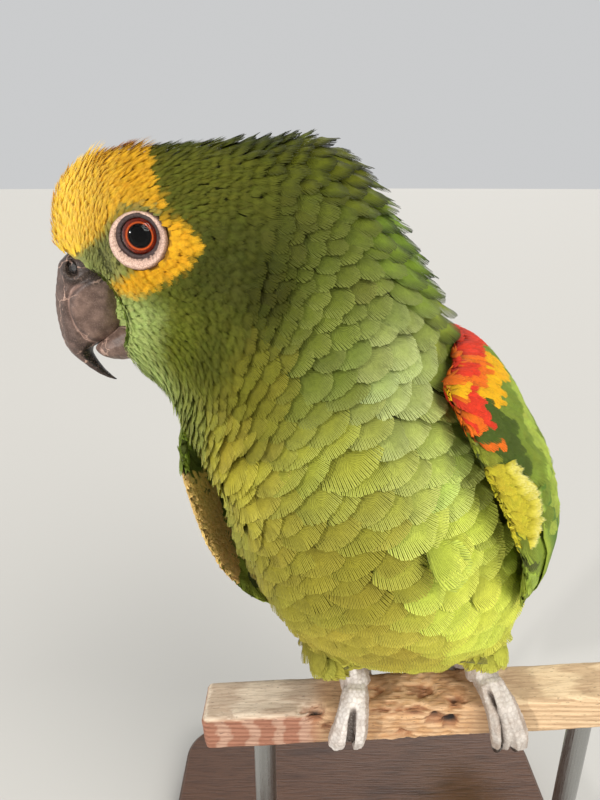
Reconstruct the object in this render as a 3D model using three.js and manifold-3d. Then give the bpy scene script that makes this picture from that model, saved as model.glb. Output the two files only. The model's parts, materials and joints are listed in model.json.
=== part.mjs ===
// A life-size display model of an amazon parrot. It grips a short gnawed length of squared timber, which two
// rods hold over a flat base, and it looks over its right shoulder. Millimetres, +Z up, standing on z = 0.
// +X is the bird's left along the perch, the toes point to -Y, and the origin is under the middle of the base.
import * as THREE from "three";
import { mergeVertices } from "three/addons/utils/BufferGeometryUtils.js";
import Module from "manifold-3d";

const wasm = await Module();
wasm.setup();

// ---------------------------------------------------------------- driving dimensions
const GAP = 0.3; // clearance between neighbouring solids
const BASE = { length: 184, width: 150, height: 12, corner: 16, bevel: 1.5 };
const PERCH = { length: 160, width: 18, height: 14.5, front: -8, top: 132, incline: 4.2, chamfer: 1.4 };
const ROD = { radius: 4, spacing: 116 };
const FEET = new THREE.Vector3(14, -16, PERCH.top); // on the perch, half way between the feet
const HEADING = 27; // degrees the trunk is turned to the bird's right
const HIP = new THREE.Vector3(-2, 25, 25); // where the trunk's axis starts, from FEET
const NECK_BASE = new THREE.Vector3(-38, 5, 112); // and where it ends
const MIDLINE = 7.5; // y of the head's plane of symmetry, from FEET
const EYE = { radius: 6.2, apart: 14.4, x: -84, z: 158.3 };
const FACE = { radius: 19, x: -118.3, z: 135.8 }; // the round edge of the feathers behind the bill
const TAIL = { length: 120, width: 42, thickness: 5 };
const WING_SPLIT = 22; // height up the trunk where the coverts end and the flight feathers begin
const BODY_SIDES = 22;
const BODY_RINGS = 34;
const BODY_CUTS = [0.2, 0.415, 0.6]; // belly | breast | neck | head, as parts of the spine

const DEG = Math.PI / 180;
const LEFT = 1;
const RIGHT = -1;
const v3 = (x, y, z) => new THREE.Vector3(x, y, z);

// ---------------------------------------------------------------- colours
const matte = (color, roughness) => new THREE.MeshStandardMaterial({ color, roughness, metalness: 0 });
const GREEN = matte("#6f8f22", 0.8);
const BREAST_GREEN = matte("#8fa82c", 0.8);
const WING_GREEN = matte("#4f7f26", 0.75);
const HORN = matte("#5c4a45", 0.45);
const SCALED_SKIN = matte("#b9b0a4", 0.7);
const IRIS = matte("#b8431a", 0.15);
const WOOD = matte("#c79a68", 0.75);
const DARK_WOOD = matte("#4a3527", 0.5);
const STEEL = new THREE.MeshStandardMaterial({ color: "#9a9a98", roughness: 0.35, metalness: 1 });

// ---------------------------------------------------------------- solids and meshes
function solidOf(geometry) {
  const bare = geometry.clone();
  bare.deleteAttribute("normal");
  bare.deleteAttribute("uv");
  const merged = mergeVertices(bare, 1e-4);
  const vertProperties = merged.attributes.position.array;
  const made = (triVerts) => new wasm.Manifold(new wasm.Mesh({ numProp: 3, vertProperties, triVerts }));
  const corners = new Uint32Array(merged.index.array);
  const solid = made(corners);
  return solid.volume() > 0 ? solid : made(corners.reverse());
}

function meshOf(name, solid, look) {
  const { numProp, numVert, vertProperties, triVerts } = solid.getMesh();
  const points = new Float32Array(numVert * 3);
  for (let i = 0; i < numVert; i++) points.set(vertProperties.subarray(i * numProp, i * numProp + 3), i * 3);
  const geometry = new THREE.BufferGeometry();
  geometry.setAttribute("position", new THREE.BufferAttribute(points, 3));
  geometry.setIndex(new THREE.BufferAttribute(triVerts, 1));
  geometry.computeVertexNormals();
  const mesh = new THREE.Mesh(geometry, look);
  mesh.name = name;
  return mesh;
}

const largest = (solid) => solid.decompose().sort((a, b) => b.volume() - a.volume())[0];
const without = (solid, ...others) => largest(others.reduce((rest, other) => rest.subtract(other), solid));

// One closed skin over rings of points, with a fan at each end.
function loft(rings) {
  const sides = rings[0].length;
  const points = rings.flat();
  const corners = [];
  for (let i = 0; i + 1 < rings.length; i++)
    for (let j = 0; j < sides; j++) {
      const a = i * sides + j;
      const b = i * sides + ((j + 1) % sides);
      corners.push(a, b, b + sides, a, b + sides, a + sides);
    }
  for (const end of [0, rings.length - 1]) {
    points.push(rings[end].reduce((sum, p) => sum.add(p), v3(0, 0, 0)).divideScalar(sides));
    for (let j = 0; j < sides; j++) {
      const a = end * sides + j;
      const b = end * sides + ((j + 1) % sides);
      corners.push(points.length - 1, end ? a : b, end ? b : a);
    }
  }
  const geometry = new THREE.BufferGeometry().setFromPoints(points);
  geometry.setIndex(corners);
  return solidOf(geometry);
}

// ---------------------------------------------------------------- rows of numbers joined by a smooth curve
// t runs from 0 to 1 over the rows, and every column follows its own Catmull-Rom curve.
function along(rows, t) {
  const place = THREE.MathUtils.clamp(t, 0, 1) * (rows.length - 1);
  const i = Math.min(Math.floor(place), rows.length - 2);
  const u = place - i;
  const row = (k) => rows[THREE.MathUtils.clamp(k, 0, rows.length - 1)];
  return row(i).map((q, n) => {
    const [p, r, s] = [row(i - 1)[n], row(i + 1)[n], row(i + 2)[n]];
    return q + 0.5 * u * (r - p + u * (2 * p - 5 * q + 4 * r - s + u * (3 * (q - r) + s - p)));
  });
}

// The way that the rows' first three columns, as a place, move at t.
function courseAt(rows, t) {
  const small = 0.01;
  return v3(...along(rows, Math.min(1, t + small))).sub(v3(...along(rows, Math.max(0, t - small))));
}

const steps = (count) => Array.from({ length: count + 1 }, (_, i) => i / count);
const turns = (count) => Array.from({ length: count }, (_, j) => (360 * j) / count);

// ---------------------------------------------------------------- the trunk's own frame
// up runs from the hips to the base of the neck, left and back are the bird's own. Lengths are from HIP.
const TRUNK = (() => {
  const up = NECK_BASE.clone().sub(HIP).normalize();
  const back = v3(Math.sin(HEADING * DEG), Math.cos(HEADING * DEG), 0);
  back.addScaledVector(up, -back.dot(up)).normalize();
  return { up, back, left: new THREE.Vector3().crossVectors(back, up) };
})();

const inTrunk = (up, left, back) =>
  HIP.clone()
    .addScaledVector(TRUNK.up, up)
    .addScaledVector(TRUNK.left, left)
    .addScaledVector(TRUNK.back, back);

// ---------------------------------------------------------------- body: trunk, neck and head in one skin
// Trunk rows, in the trunk's frame: up, left and back of the centre, then the radii to back, belly and sides.
const TRUNK_ROWS = [
  [-38, -9, 25, 6, 7, 14],
  [-20, -9, 15, 20, 21, 31],
  [3, -5, 3, 31, 33, 44],
  [28, -1, -6, 38, 41, 50],
  [53, 2, -9, 42, 43, 50],
  [77, 1, -6, 43, 44, 47.5],
].map(([up, left, back, ...radii]) => [...inTrunk(up, left, back), ...TRUNK.back, ...radii]);

// Neck and head rows: the centre from FEET, the direction of the crown, then the same three radii.
const HEAD_ROWS = [
  [-39.5, 5.5, 113, 0.6, 0.6, 0.53, 45, 47, 42.5],
  [-49, 7, 131, 0.6, 0.35, 0.72, 47, 45, 38],
  [-58.7, MIDLINE, 142.1, 0.47, 0.12, 0.88, 47, 46.5, 32],
  [-67, MIDLINE, 149, 0.38, 0, 0.93, 37, 43.6, 27.5],
  [-78.7, MIDLINE, 150.7, 0.24, 0, 0.97, 32, 37.6, 23.2],
  [-90.8, MIDLINE, 148.6, 0.06, 0, 1, 32, 30.3, 19],
  [-100, MIDLINE, 148.5, -0.12, 0, 0.99, 29.4, 24, 16.3],
  [-107, MIDLINE, 147, -0.2, 0, 0.98, 23.4, 14, 13.3],
  [-111, MIDLINE, 147, -0.2, 0, 0.98, 13, 8, 9],
];
const BODY_ROWS = [...TRUNK_ROWS, ...HEAD_ROWS];

// The station at t: its centre, the way it faces towards the head, and the crown and left directions.
function station(t) {
  const row = along(BODY_ROWS, t);
  const back = v3(...row.slice(3, 6)).normalize();
  const left = new THREE.Vector3().crossVectors(back, courseAt(BODY_ROWS, t)).normalize();
  const forward = new THREE.Vector3().crossVectors(left, back);
  return { centre: v3(...row), forward, back, left, radii: row.slice(6) };
}

// The body's skin, drawn out all round by grow.
function bodySolid(sides, rings, grow = 0) {
  const ring = (t) => {
    const { centre, back, left, radii } = station(t);
    return turns(sides).map((angle) => {
      const [c, s] = [Math.cos(angle * DEG), Math.sin(angle * DEG)];
      return centre
        .clone()
        .addScaledVector(back, c * ((c > 0 ? radii[0] : radii[1]) + grow))
        .addScaledVector(left, s * (radii[2] + grow));
    });
  };
  return loft(steps(rings).map(ring));
}

// What lies behind or ahead of the station at t, half a gap clear of it.
function behind(solid, t) {
  const { centre, forward } = station(t);
  return solid.trimByPlane(forward.clone().negate().toArray(), -forward.dot(centre) + GAP / 2);
}
function ahead(solid, t) {
  const { centre, forward } = station(t);
  return solid.trimByPlane(forward.toArray(), forward.dot(centre) + GAP / 2);
}

// ---------------------------------------------------------------- bill
// Rows in the head's plane of symmetry: x, z of the front edge, x, z of the rear edge, half the width.
const UPPER_BILL = [
  [-106, 154, -95, 147, 8.5],
  [-112.3, 152, -98, 143, 8.6],
  [-114.4, 146, -98.6, 139.5, 8.5],
  [-115.7, 140, -99.3, 136, 8],
  [-115.8, 134, -101, 131.5, 7.1],
  [-115, 127.6, -104, 127, 5.9],
  [-113.2, 123.8, -106.8, 125, 4.5],
  [-111, 121.4, -107.2, 123, 3.3],
  [-107.8, 118.3, -105.6, 120.2, 2.3],
  [-104.2, 115.8, -103.2, 117, 1.3],
  [-100.8, 114.6, -100.5, 115, 0.4],
];
const BILL_SIDES = 12;
const BILL_RINGS = 1.4; // for each row
const LOWER_BILL = [
  [-92, 135, -88, 123, 8],
  [-96.2, 133.5, -93, 121.9, 8],
  [-100.3, 130.6, -98.5, 121.5, 7.2],
  [-103.2, 128, -103, 122.5, 5.6],
  [-105.1, 126.3, -105.2, 124.6, 3],
];

function billSolid(rows, grow = 0) {
  const ring = (t) => {
    const [x1, z1, x2, z2, halfWidth] = along(rows, t);
    const front = v3(x1, MIDLINE, z1);
    const rear = v3(x2, MIDLINE, z2);
    const middle = front.clone().add(rear).divideScalar(2);
    const reach = front.sub(middle);
    const depth = reach.length();
    return turns(BILL_SIDES).map((angle) =>
      middle
        .clone()
        .addScaledVector(reach, (Math.cos(angle * DEG) * (depth + grow)) / depth)
        .add(v3(0, Math.sin(angle * DEG) * (halfWidth + grow), 0)),
    );
  };
  return loft(steps(Math.round(rows.length * BILL_RINGS)).map(ring));
}

// ---------------------------------------------------------------- eyes
// The head looks along -X, so its left side is towards -Y.
const eyeCentre = (side) => v3(EYE.x, MIDLINE - side * EYE.apart, EYE.z);
function eyeSolid(side, grow = 0) {
  const ball = new THREE.SphereGeometry(EYE.radius + grow, 16, 10);
  ball.translate(...eyeCentre(side));
  return solidOf(ball);
}

// ---------------------------------------------------------------- wings
// Rows in the trunk's frame, from the bend to the longest feather: up, left and back of the centre, the radii
// to the side and to the back, the leading and trailing angles (0 is the spine, 90 the flank), the thickness.
const WING_ROWS = [
  [103, 1, 6, 37, 32, 92, 64, 2],
  [98, 1, 4, 44, 35, 106, 44, 6],
  [86, 2, 0, 51.5, 38, 116, 25, 8.5],
  [65, 2, -3, 55.5, 40, 119, 13, 8.5],
  [42, 1, -5, 55.5, 41, 116, 7, 7.5],
  [18, -2, -3, 49.5, 40, 110, 4, 6.5],
  [-8, -5.5, 3, 39, 37, 101, 4, 5.5],
  [-32, -7.5, 10, 29.5, 30, 89, 4, 4],
  [-57, -7.5, 17, 22, 22, 74, 4, 3],
  [-80, -7, 23, 16, 16, 58, 5, 2],
  [-98, -6.5, 27.5, 10, 11.5, 42, 14, 1.2],
];
const WING_ARC = 8; // steps round each of a section's two arcs
const WING_RINGS = 18;

const HELD_OUT = { [LEFT]: { lead: 0, reach: 1 }, [RIGHT]: { lead: 9, reach: 9 } }; // how each wing is held

function wingSolid(side) {
  const ring = (t) => {
    const [up, middle, back, toSide, toBack, lead, trail, thickness] = along(WING_ROWS, t);
    const point = (part, inset) => {
      const angle = THREE.MathUtils.lerp(trail, lead + HELD_OUT[side].lead, part) * DEG;
      const across = side * Math.sin(angle) * (toSide + HELD_OUT[side].reach * part - inset);
      return inTrunk(up, middle + across, back + Math.cos(angle) * (toBack - inset));
    };
    const depth = (part) => thickness * Math.sqrt(Math.max(0, Math.sin(Math.PI * Math.min(part, 0.97))));
    const parts = steps(WING_ARC);
    const outer = parts.map((part) => point(part, 0));
    const inner = parts.slice(1, -1).reverse().map((part) => point(part, Math.max(0.8, depth(part))));
    return [...outer, ...inner];
  };
  return loft(steps(WING_RINGS).map(ring));
}

// What lies above or below a height up the trunk, half a gap clear of it.
const above = (solid, up) =>
  largest(solid.trimByPlane(TRUNK.up.toArray(), TRUNK.up.dot(HIP) + up + GAP / 2));
const below = (solid, up) =>
  largest(solid.trimByPlane(TRUNK.up.clone().negate().toArray(), -TRUNK.up.dot(HIP) - up + GAP / 2));

// ---------------------------------------------------------------- tail
// Rows from root to tip: part of the length, width and thickness as parts of the largest.
const TAIL_ROWS = [
  [-0.1, 0.5, 2.4],
  [0.1, 0.66, 2],
  [0.35, 0.8, 1.2],
  [0.65, 0.95, 0.8],
  [0.88, 1, 0.5],
  [0.96, 0.86, 0.36],
  [1, 0.55, 0.24],
];
const TAIL_ROOT = { up: -28, left: -6, back: 23 };

function tailSolid(grow = 0) {
  const ring = (t) => {
    const [down, width, thickness] = along(TAIL_ROWS, t);
    const halfWidth = (TAIL.width * width) / 2 + grow;
    const halfDepth = (TAIL.thickness * thickness) / 2 + grow;
    const droop = 0.1 * halfWidth; // the outer feathers lie lower than the middle pair
    return turns(14).map((angle) => {
      const [c, s] = [Math.cos(angle * DEG), Math.sin(angle * DEG)];
      const back = TAIL_ROOT.back + c * halfDepth - droop * s * s;
      return inTrunk(TAIL_ROOT.up - TAIL.length * down, TAIL_ROOT.left + s * halfWidth, back);
    });
  };
  return loft(steps(10).map(ring));
}

// ---------------------------------------------------------------- round limbs
// A limb through the given places, each with its radius, as [x, y, z, radius].
function limbSolid(rows, sides, rings, grow = 0) {
  const ring = (t) => {
    const row = along(rows, t);
    const forward = courseAt(rows, t).normalize();
    const across = v3(1, 0, 0).addScaledVector(forward, -forward.x).normalize();
    const over = new THREE.Vector3().crossVectors(forward, across);
    return turns(sides).map((angle) =>
      v3(...row)
        .addScaledVector(across, Math.cos(angle * DEG) * (row[3] + grow))
        .addScaledVector(over, Math.sin(angle * DEG) * (row[3] + grow)),
    );
  };
  return loft(steps(rings).map(ring));
}

// Each leg: the palm's x along the perch, the ends of the two front and the two rear toes, how far the toes
// reach down the perch, the knee, the x of the thigh's lowest feathers, and the size of the foot.
const LEGS = {
  left: { palm: 20, front: [25, 31.5], rear: [15, 27], reach: 0.92, knee: [14, 20, 42], tuft: 20, size: 1.06 },
  right: { palm: -25, front: [-32.5, -25.5], rear: [-32, -20], reach: 0.62, knee: [-34, 20, 36], tuft: -34, size: 1 },
};
const REAR_EDGE = PERCH.front + PERCH.width;
const onPerch = (x) => x * Math.tan(PERCH.incline * DEG); // how much the perch has risen at x

// A toe from the palm over an edge of the perch and down its face, as [x, y, z, radius] rows.
function toeRows({ palm, reach, size }, tip, edge) {
  const way = Math.sign(edge);
  const row = (part, out, z, radius) => {
    const x = THREE.MathUtils.lerp(palm, tip, part);
    return [x, way * out, z * (z < 0 ? reach : size) + onPerch(x), radius * size];
  };
  const over = Math.abs(edge);
  return [
    row(0, 1, 5, 3.9),
    row(0.25, over - 1.5, 4.4, 4),
    row(0.5, over + 2.6, 0.4, 3.7),
    row(0.75, over + 4, -6.5, 3.5),
    row(0.93, over + 3.6, -13, 3.2),
    row(1, over + 1.4, -18, 2.2),
    row(1.02, over - 2.5, -20.5, 0.6),
  ];
}

function footSolid(leg, grow = 0) {
  const { palm, front, rear, knee, size } = leg;
  const foot = [palm, 0, 4.5 + onPerch(palm)];
  const shank = [0, 0.3, 0.6, 0.9].map((part) => {
    const [x, y, z] = foot.map((place, n) => THREE.MathUtils.lerp(place, knee[n], part));
    return [x, y, z, (5.4 - part) * size];
  });
  const rows = [
    ...front.map((tip) => toeRows(leg, tip, PERCH.front)),
    ...rear.map((tip) => toeRows(leg, tip, REAR_EDGE)),
  ];
  return rows.reduce((whole, toe) => whole.add(limbSolid(toe, 7, 7, grow)), limbSolid(shank, 9, 3, grow));
}

// The feathered thigh, from inside the belly down to the bare shank. tuft is where its lowest feathers hang.
function thighSolid({ palm, knee, tuft }, grow = 0) {
  const rows = [
    [...knee, 9],
    [THREE.MathUtils.lerp(knee[0], tuft, 0.5), 13, 27, 12],
    [tuft, 5, 18 + onPerch(palm), 11],
    [THREE.MathUtils.lerp(tuft, palm, 0.2), 2, 11 + onPerch(palm), 7.5],
  ];
  return limbSolid(rows, 14, 7, grow);
}

// ---------------------------------------------------------------- perch and stand
// A board lying along X: length, width, height and the bevel of its edges, centred on the origin.
function boardSolid(length, width, height, bevel, corner, curveSegments) {
  const [x, y] = [length / 2 - bevel, width / 2 - bevel];
  const outline = new THREE.Shape();
  outline.moveTo(-x + corner, -y);
  outline.lineTo(x - corner, -y);
  outline.absarc(x - corner, -y + corner, corner, -90 * DEG, 0);
  outline.lineTo(x, y - corner);
  outline.absarc(x - corner, y - corner, corner, 0, 90 * DEG);
  outline.lineTo(-x + corner, y);
  outline.absarc(-x + corner, y - corner, corner, 90 * DEG, 180 * DEG);
  outline.lineTo(-x, -y + corner);
  outline.absarc(-x + corner, -y + corner, corner, 180 * DEG, 270 * DEG);
  const depth = height - 2 * bevel;
  const board = new THREE.ExtrudeGeometry(outline, {
    depth,
    bevelThickness: bevel,
    bevelSize: bevel,
    bevelSegments: 1,
    curveSegments,
  });
  return board.translate(0, 0, -depth / 2);
}

function perchSolid(grow = 0) {
  const [length, width, height] = [PERCH.length, PERCH.width, PERCH.height].map((size) => size + 2 * grow);
  const timber = boardSolid(length, width, height, PERCH.chamfer, 0.5, 1);
  timber.translate(0, PERCH.front + PERCH.width / 2, -PERCH.height / 2).rotateY(-PERCH.incline * DEG);
  return solidOf(timber);
}

const rodX = (side) => (side * ROD.spacing) / 2;
function rodSolid(side) {
  const bottom = BASE.height + GAP - FEET.z; // from FEET, as everything on the perch is
  const rod = new THREE.CylinderGeometry(ROD.radius, ROD.radius, -bottom, 24);
  rod.rotateX(90 * DEG).translate(rodX(side), 0, bottom / 2);
  return without(solidOf(rod), perchSolid(GAP));
}

// ---------------------------------------------------------------- the model
const model = new THREE.Group();
const onFeet = new THREE.Group(); // all that is measured from FEET
onFeet.position.copy(FEET);
model.add(onFeet);
const put = (name, solid, look) => onFeet.add(meshOf(name, solid, look));

const SIDES = { left: LEFT, right: RIGHT };
const perchRoom = perchSolid(GAP);
const body = bodySolid(BODY_SIDES, BODY_RINGS);
const bodyRoom = bodySolid(BODY_SIDES, BODY_RINGS, GAP);
const face = new THREE.CylinderGeometry(FACE.radius, FACE.radius, 60, 24).translate(FACE.x, MIDLINE, FACE.z);
const upperBillRoom = billSolid(UPPER_BILL, GAP);
const lowerBillRoom = billSolid(LOWER_BILL, GAP);
const eyeRooms = Object.values(SIDES).map((side) => eyeSolid(side, GAP));

put("head", without(ahead(body, BODY_CUTS[2]), solidOf(face), upperBillRoom, lowerBillRoom, ...eyeRooms), GREEN);
put("neck", behind(ahead(body, BODY_CUTS[1]), BODY_CUTS[2]), GREEN);
put("breast", behind(ahead(body, BODY_CUTS[0]), BODY_CUTS[1]), BREAST_GREEN);
put("belly", behind(body, BODY_CUTS[0]), BREAST_GREEN);
put("tail", without(tailSolid(), bodyRoom), WING_GREEN);
put("bill_upper", billSolid(UPPER_BILL), HORN);
put("bill_lower", without(billSolid(LOWER_BILL), upperBillRoom), HORN);

for (const [name, side] of Object.entries(SIDES)) {
  const wing = without(wingSolid(side), bodyRoom, tailSolid(GAP), thighSolid(LEGS[name], GAP));
  const foot = without(footSolid(LEGS[name]), bodyRoom, perchRoom);
  const thigh = without(thighSolid(LEGS[name]), bodyRoom, footSolid(LEGS[name], GAP), perchRoom);
  put(`eye_${name}`, eyeSolid(side), IRIS);
  put(`wing_${name}_coverts`, above(wing, WING_SPLIT), WING_GREEN);
  put(`wing_${name}_flight`, below(wing, WING_SPLIT), WING_GREEN);
  put(`thigh_${name}`, thigh, BREAST_GREEN);
  put(`foot_${name}`, foot, SCALED_SKIN);
  put(`stand_rod_${name}`, rodSolid(side), STEEL);
}
put("perch", perchSolid(), WOOD);

const base = boardSolid(BASE.length, BASE.width, BASE.height, BASE.bevel, BASE.corner, 6);
model.add(meshOf("stand_base", solidOf(base.translate(0, 0, BASE.height / 2)), DARK_WOOD));

export default model;
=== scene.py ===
import json
import math

import bmesh
import bpy
import numpy as np
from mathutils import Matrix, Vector, noise
from mathutils.bvhtree import BVHTree
from mathutils.kdtree import KDTree

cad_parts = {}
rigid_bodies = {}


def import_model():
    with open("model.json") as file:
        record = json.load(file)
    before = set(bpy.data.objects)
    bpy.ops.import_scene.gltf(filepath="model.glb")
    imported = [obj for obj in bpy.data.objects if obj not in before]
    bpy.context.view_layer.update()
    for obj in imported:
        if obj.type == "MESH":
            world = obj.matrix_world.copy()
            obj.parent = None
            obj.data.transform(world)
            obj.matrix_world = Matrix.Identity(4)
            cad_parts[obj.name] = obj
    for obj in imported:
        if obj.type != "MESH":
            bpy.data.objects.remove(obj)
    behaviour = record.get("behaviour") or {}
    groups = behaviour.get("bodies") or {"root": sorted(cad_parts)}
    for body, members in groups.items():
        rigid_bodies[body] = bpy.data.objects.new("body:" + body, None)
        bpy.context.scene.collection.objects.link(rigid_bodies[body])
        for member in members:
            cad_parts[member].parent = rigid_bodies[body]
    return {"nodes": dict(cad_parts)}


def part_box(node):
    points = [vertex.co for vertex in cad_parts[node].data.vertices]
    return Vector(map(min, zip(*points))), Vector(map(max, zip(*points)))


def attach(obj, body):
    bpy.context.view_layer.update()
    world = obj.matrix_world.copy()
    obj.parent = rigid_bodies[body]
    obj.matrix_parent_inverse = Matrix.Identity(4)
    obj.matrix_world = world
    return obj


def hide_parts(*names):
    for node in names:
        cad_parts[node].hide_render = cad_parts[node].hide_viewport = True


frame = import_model()
bpy.context.view_layer.update()

MM = 0.001
rng = np.random.default_rng(11)


# ---------------------------------------------------------------- working with objects
def pick(*objects):
    """Selects these objects alone, the first of them active."""
    bpy.ops.object.select_all(action="DESELECT")
    for o in objects:
        o.select_set(True)
    bpy.context.view_layer.objects.active = objects[0]


def finish_with(piece, kind, **settings):
    """Adds a modifier to the piece and applies it."""
    pick(piece)
    modifier = piece.modifiers.new(kind.title(), kind)
    for key, value in settings.items():
        setattr(modifier, key, value)
    bpy.ops.object.modifier_apply(modifier=modifier.name)


def new_object(name, mesh):
    piece = bpy.data.objects.new(name, mesh)
    bpy.context.scene.collection.objects.link(piece)
    return piece


def object_from(name, work):
    """The working mesh as an object of its own."""
    mesh = bpy.data.meshes.new(name)
    work.to_mesh(mesh)
    work.free()
    return new_object(name, mesh)


def smooth_shaded(piece):
    pick(piece)
    bpy.ops.object.shade_smooth()
    return piece


def join_rings(work, rings):
    """Faces from each ring of points to the next. A ring of one point is a pole."""
    for ring, following in zip(rings, rings[1:]):
        for k in range(max(len(ring), len(following))):
            corners = [ring[k % len(ring)], ring[(k + 1) % len(ring)]]
            corners += [following[(k + 1) % len(following)], following[k % len(following)]]
            work.faces.new(list(dict.fromkeys(corners)))


def copies_of(name, nodes):
    """One new object with a copy of each of these CAD nodes, their loose triangles welded."""
    work = bmesh.new()
    for node in nodes:
        work.from_mesh(frame["nodes"][node].data)
    bmesh.ops.remove_doubles(work, verts=work.verts, dist=0.001 * MM)
    return object_from(name, work)


def places(mesh):
    """The mesh's points as an array."""
    out = np.empty(len(mesh.vertices) * 3)
    mesh.vertices.foreach_get("co", out)
    return out.reshape(-1, 3)


def set_places(mesh, points):
    mesh.vertices.foreach_set("co", np.asarray(points, np.float32).ravel())
    mesh.update()


def normals(mesh):
    out = np.empty(len(mesh.vertices) * 3, np.float32)
    mesh.vertices.foreach_get("normal", out)
    return out.reshape(-1, 3).astype(float)


def unit(vectors):
    return vectors / np.maximum(np.linalg.norm(vectors, axis=-1, keepdims=True), 1e-12)


def middle(node):
    low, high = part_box(node)
    return np.array((low + high) / 2)


def form_of(name, nodes, voxel, rounds):
    """The CAD nodes drawn as one closed and smooth form."""
    form = copies_of(name, nodes)
    closing = 0.35 * MM  # closes the thin gaps between the nodes
    finish_with(form, "DISPLACE", strength=closing, mid_level=0)
    finish_with(form, "REMESH", mode="VOXEL", voxel_size=voxel)
    finish_with(form, "SMOOTH", factor=0.5, iterations=rounds)
    return form


def surface_of(form):
    """A form as a search tree, to find the nearest place on it."""
    mesh = form.data
    return BVHTree.FromPolygons([v.co[:] for v in mesh.vertices], [p.vertices[:] for p in mesh.polygons])


# ---------------------------------------------------------------- landmarks, from the frame
BETWEEN_EYES = (middle("eye_left") + middle("eye_right")) / 2
MIDLINE = BETWEEN_EYES[1]
EYES = {side: middle(f"eye_{side}") + np.array([-1.4, 0, 0.3]) * MM for side in ("left", "right")}
TRUNK_MIDDLE = middle("breast")
UP = unit(middle("neck") - middle("belly"))
LEFT = middle("wing_left_coverts") - middle("wing_right_coverts")
LEFT = unit(LEFT - LEFT @ UP * UP)
BACK = np.cross(UP, LEFT)


def from_eyes(x, y, z):
    """A place in millimetres from the point between the eyes."""
    return BETWEEN_EYES + np.array([x, y, z]) * MM


def on_trunk(up, left, back):
    """A place in millimetres from the middle of the breast, in the trunk's own directions."""
    return TRUNK_MIDDLE + (UP * up + LEFT * left + BACK * back) * MM


def in_trunk(points):
    """How far up, left and back of the middle of the breast these places are, in millimetres."""
    return (points - TRUNK_MIDDLE) @ np.array([UP, LEFT, BACK]).T / MM


def smooth_step(low, high, x):
    """0 up to low and 1 from high on, or the other way round where high is less than low."""
    t = np.clip((x - low) / (high - low), 0, 1)
    return t * t * (3 - 2 * t)


def shape_body(form):
    """Narrows the face beside the bill, opens the gaps ahead of the wings and lets the belly hang down."""
    points = places(form.data)
    ahead = (BETWEEN_EYES[0] - points[:, 0]) / MM
    above = (points[:, 2] - BETWEEN_EYES[2]) / MM
    bill_bed = smooth_step(1.25, 0.85, np.hypot((ahead - 18.5) / 9.5, (above + 22) / 11))
    narrowed = (1 - 0.36 * smooth_step(8, 22, ahead)) * (1 - 0.55 * bill_bed)
    points[:, 1] = MIDLINE + (points[:, 1] - MIDLINE) * narrowed
    up, left, back = in_trunk(points).T
    tall = smooth_step(56, 40, up) * smooth_step(-60, -25, up)
    deep = smooth_step(16, 33, left) * smooth_step(10, -4, back) * smooth_step(-46, -34, back)
    points -= LEFT * (5.5 * MM * tall * deep)[:, None]
    tall = smooth_step(40, 12, up) * smooth_step(-58, -30, up)
    deep = smooth_step(-20, -38, left) * smooth_step(8, -6, back)
    points += (LEFT * 4.6 + BACK * 1.2) * MM * (tall * deep)[:, None]
    points[:, 2] -= (3.0 + 3.2 * smooth_step(22, 12, abs(left - 2))) * MM * smooth_step(-42, -64, up)
    set_places(form.data, points)
    return form


BODY_NODES = ["head", "neck", "breast", "belly", "thigh_left", "thigh_right"]
BODY_FORM = form_of("body_form", BODY_NODES, 1.3 * MM, 6)
BODY_SURFACE = surface_of(shape_body(BODY_FORM))
BILL_SURFACES = [surface_of(copies_of(f"{n}_form", [n])) for n in ("bill_upper", "bill_lower")]


# ---------------------------------------------------------------- which way the feathers lie
def edges_of(mesh):
    out = np.empty(len(mesh.edges) * 2, np.int64)
    mesh.edges.foreach_get("vertices", out)
    return out.reshape(-1, 2)


def falls(ends, x, count):
    """How far x falls from each point to its neighbours, summed over the edges round it."""
    step = x[ends[:, 0]] - x[ends[:, 1]]
    return np.bincount(ends[:, 0], step, count) - np.bincount(ends[:, 1], step, count)


def steady_flow(mesh, held, values):
    """A number for each point that runs smoothly between the held points, as heat does. Found by
    conjugate gradients on the mesh's own edges."""
    ends = edges_of(mesh)

    def spread(x):
        pull = falls(ends, x, len(mesh.vertices))
        pull[held] = 0
        return pull

    x = np.where(held, values, 0.5)
    return settle(spread, x, -spread(x))


ROUNDS_AT_MOST, SETTLED = 1500, 1e-16


def settle(spread, x, rest):
    """Conjugate gradients: moves x until spread(x) has taken up the rest."""
    way = rest.copy()
    size = rest @ rest
    for _ in range(ROUNDS_AT_MOST):
        pull = spread(way)
        far = size / (way @ pull)
        x += far * way
        rest -= far * pull
        new_size = rest @ rest
        if new_size < SETTLED:
            break
        way = rest + new_size / size * way
        size = new_size
    return x


def row_count(mesh, ways, row):
    """A number for each point that grows by 1 along the ways for every row of that spacing, as nearly
    as one number can."""
    points = places(mesh)
    ends = edges_of(mesh)
    count = len(points)
    pace = ways / row[:, None]
    along = points[ends[:, 1]] - points[ends[:, 0]]
    wanted = ((pace[ends[:, 0]] + pace[ends[:, 1]]) / 2 * along).sum(1)
    rest = np.bincount(ends[:, 1], wanted, count) - np.bincount(ends[:, 0], wanted, count)
    return settle(lambda x: falls(ends, x, count), np.zeros(count), rest)


def slopes(mesh, x):
    """The gradient of x at each point of the mesh, along its surface."""
    points = places(mesh)
    ends = edges_of(mesh)
    along = points[ends[:, 1]] - points[ends[:, 0]]
    step = ((x[ends[:, 1]] - x[ends[:, 0]]) / np.maximum((along**2).sum(1), 1e-18))[:, None] * along
    total = np.zeros_like(points)
    share = np.zeros(len(points))
    for side in (0, 1):
        np.add.at(total, ends[:, side], step)
        np.add.at(share, ends[:, side], 1)
    slope = total / share[:, None] * 2  # half of the edges round a point run across the slope
    up = normals(mesh)
    return slope - (slope * up).sum(1, keepdims=True) * up


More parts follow.
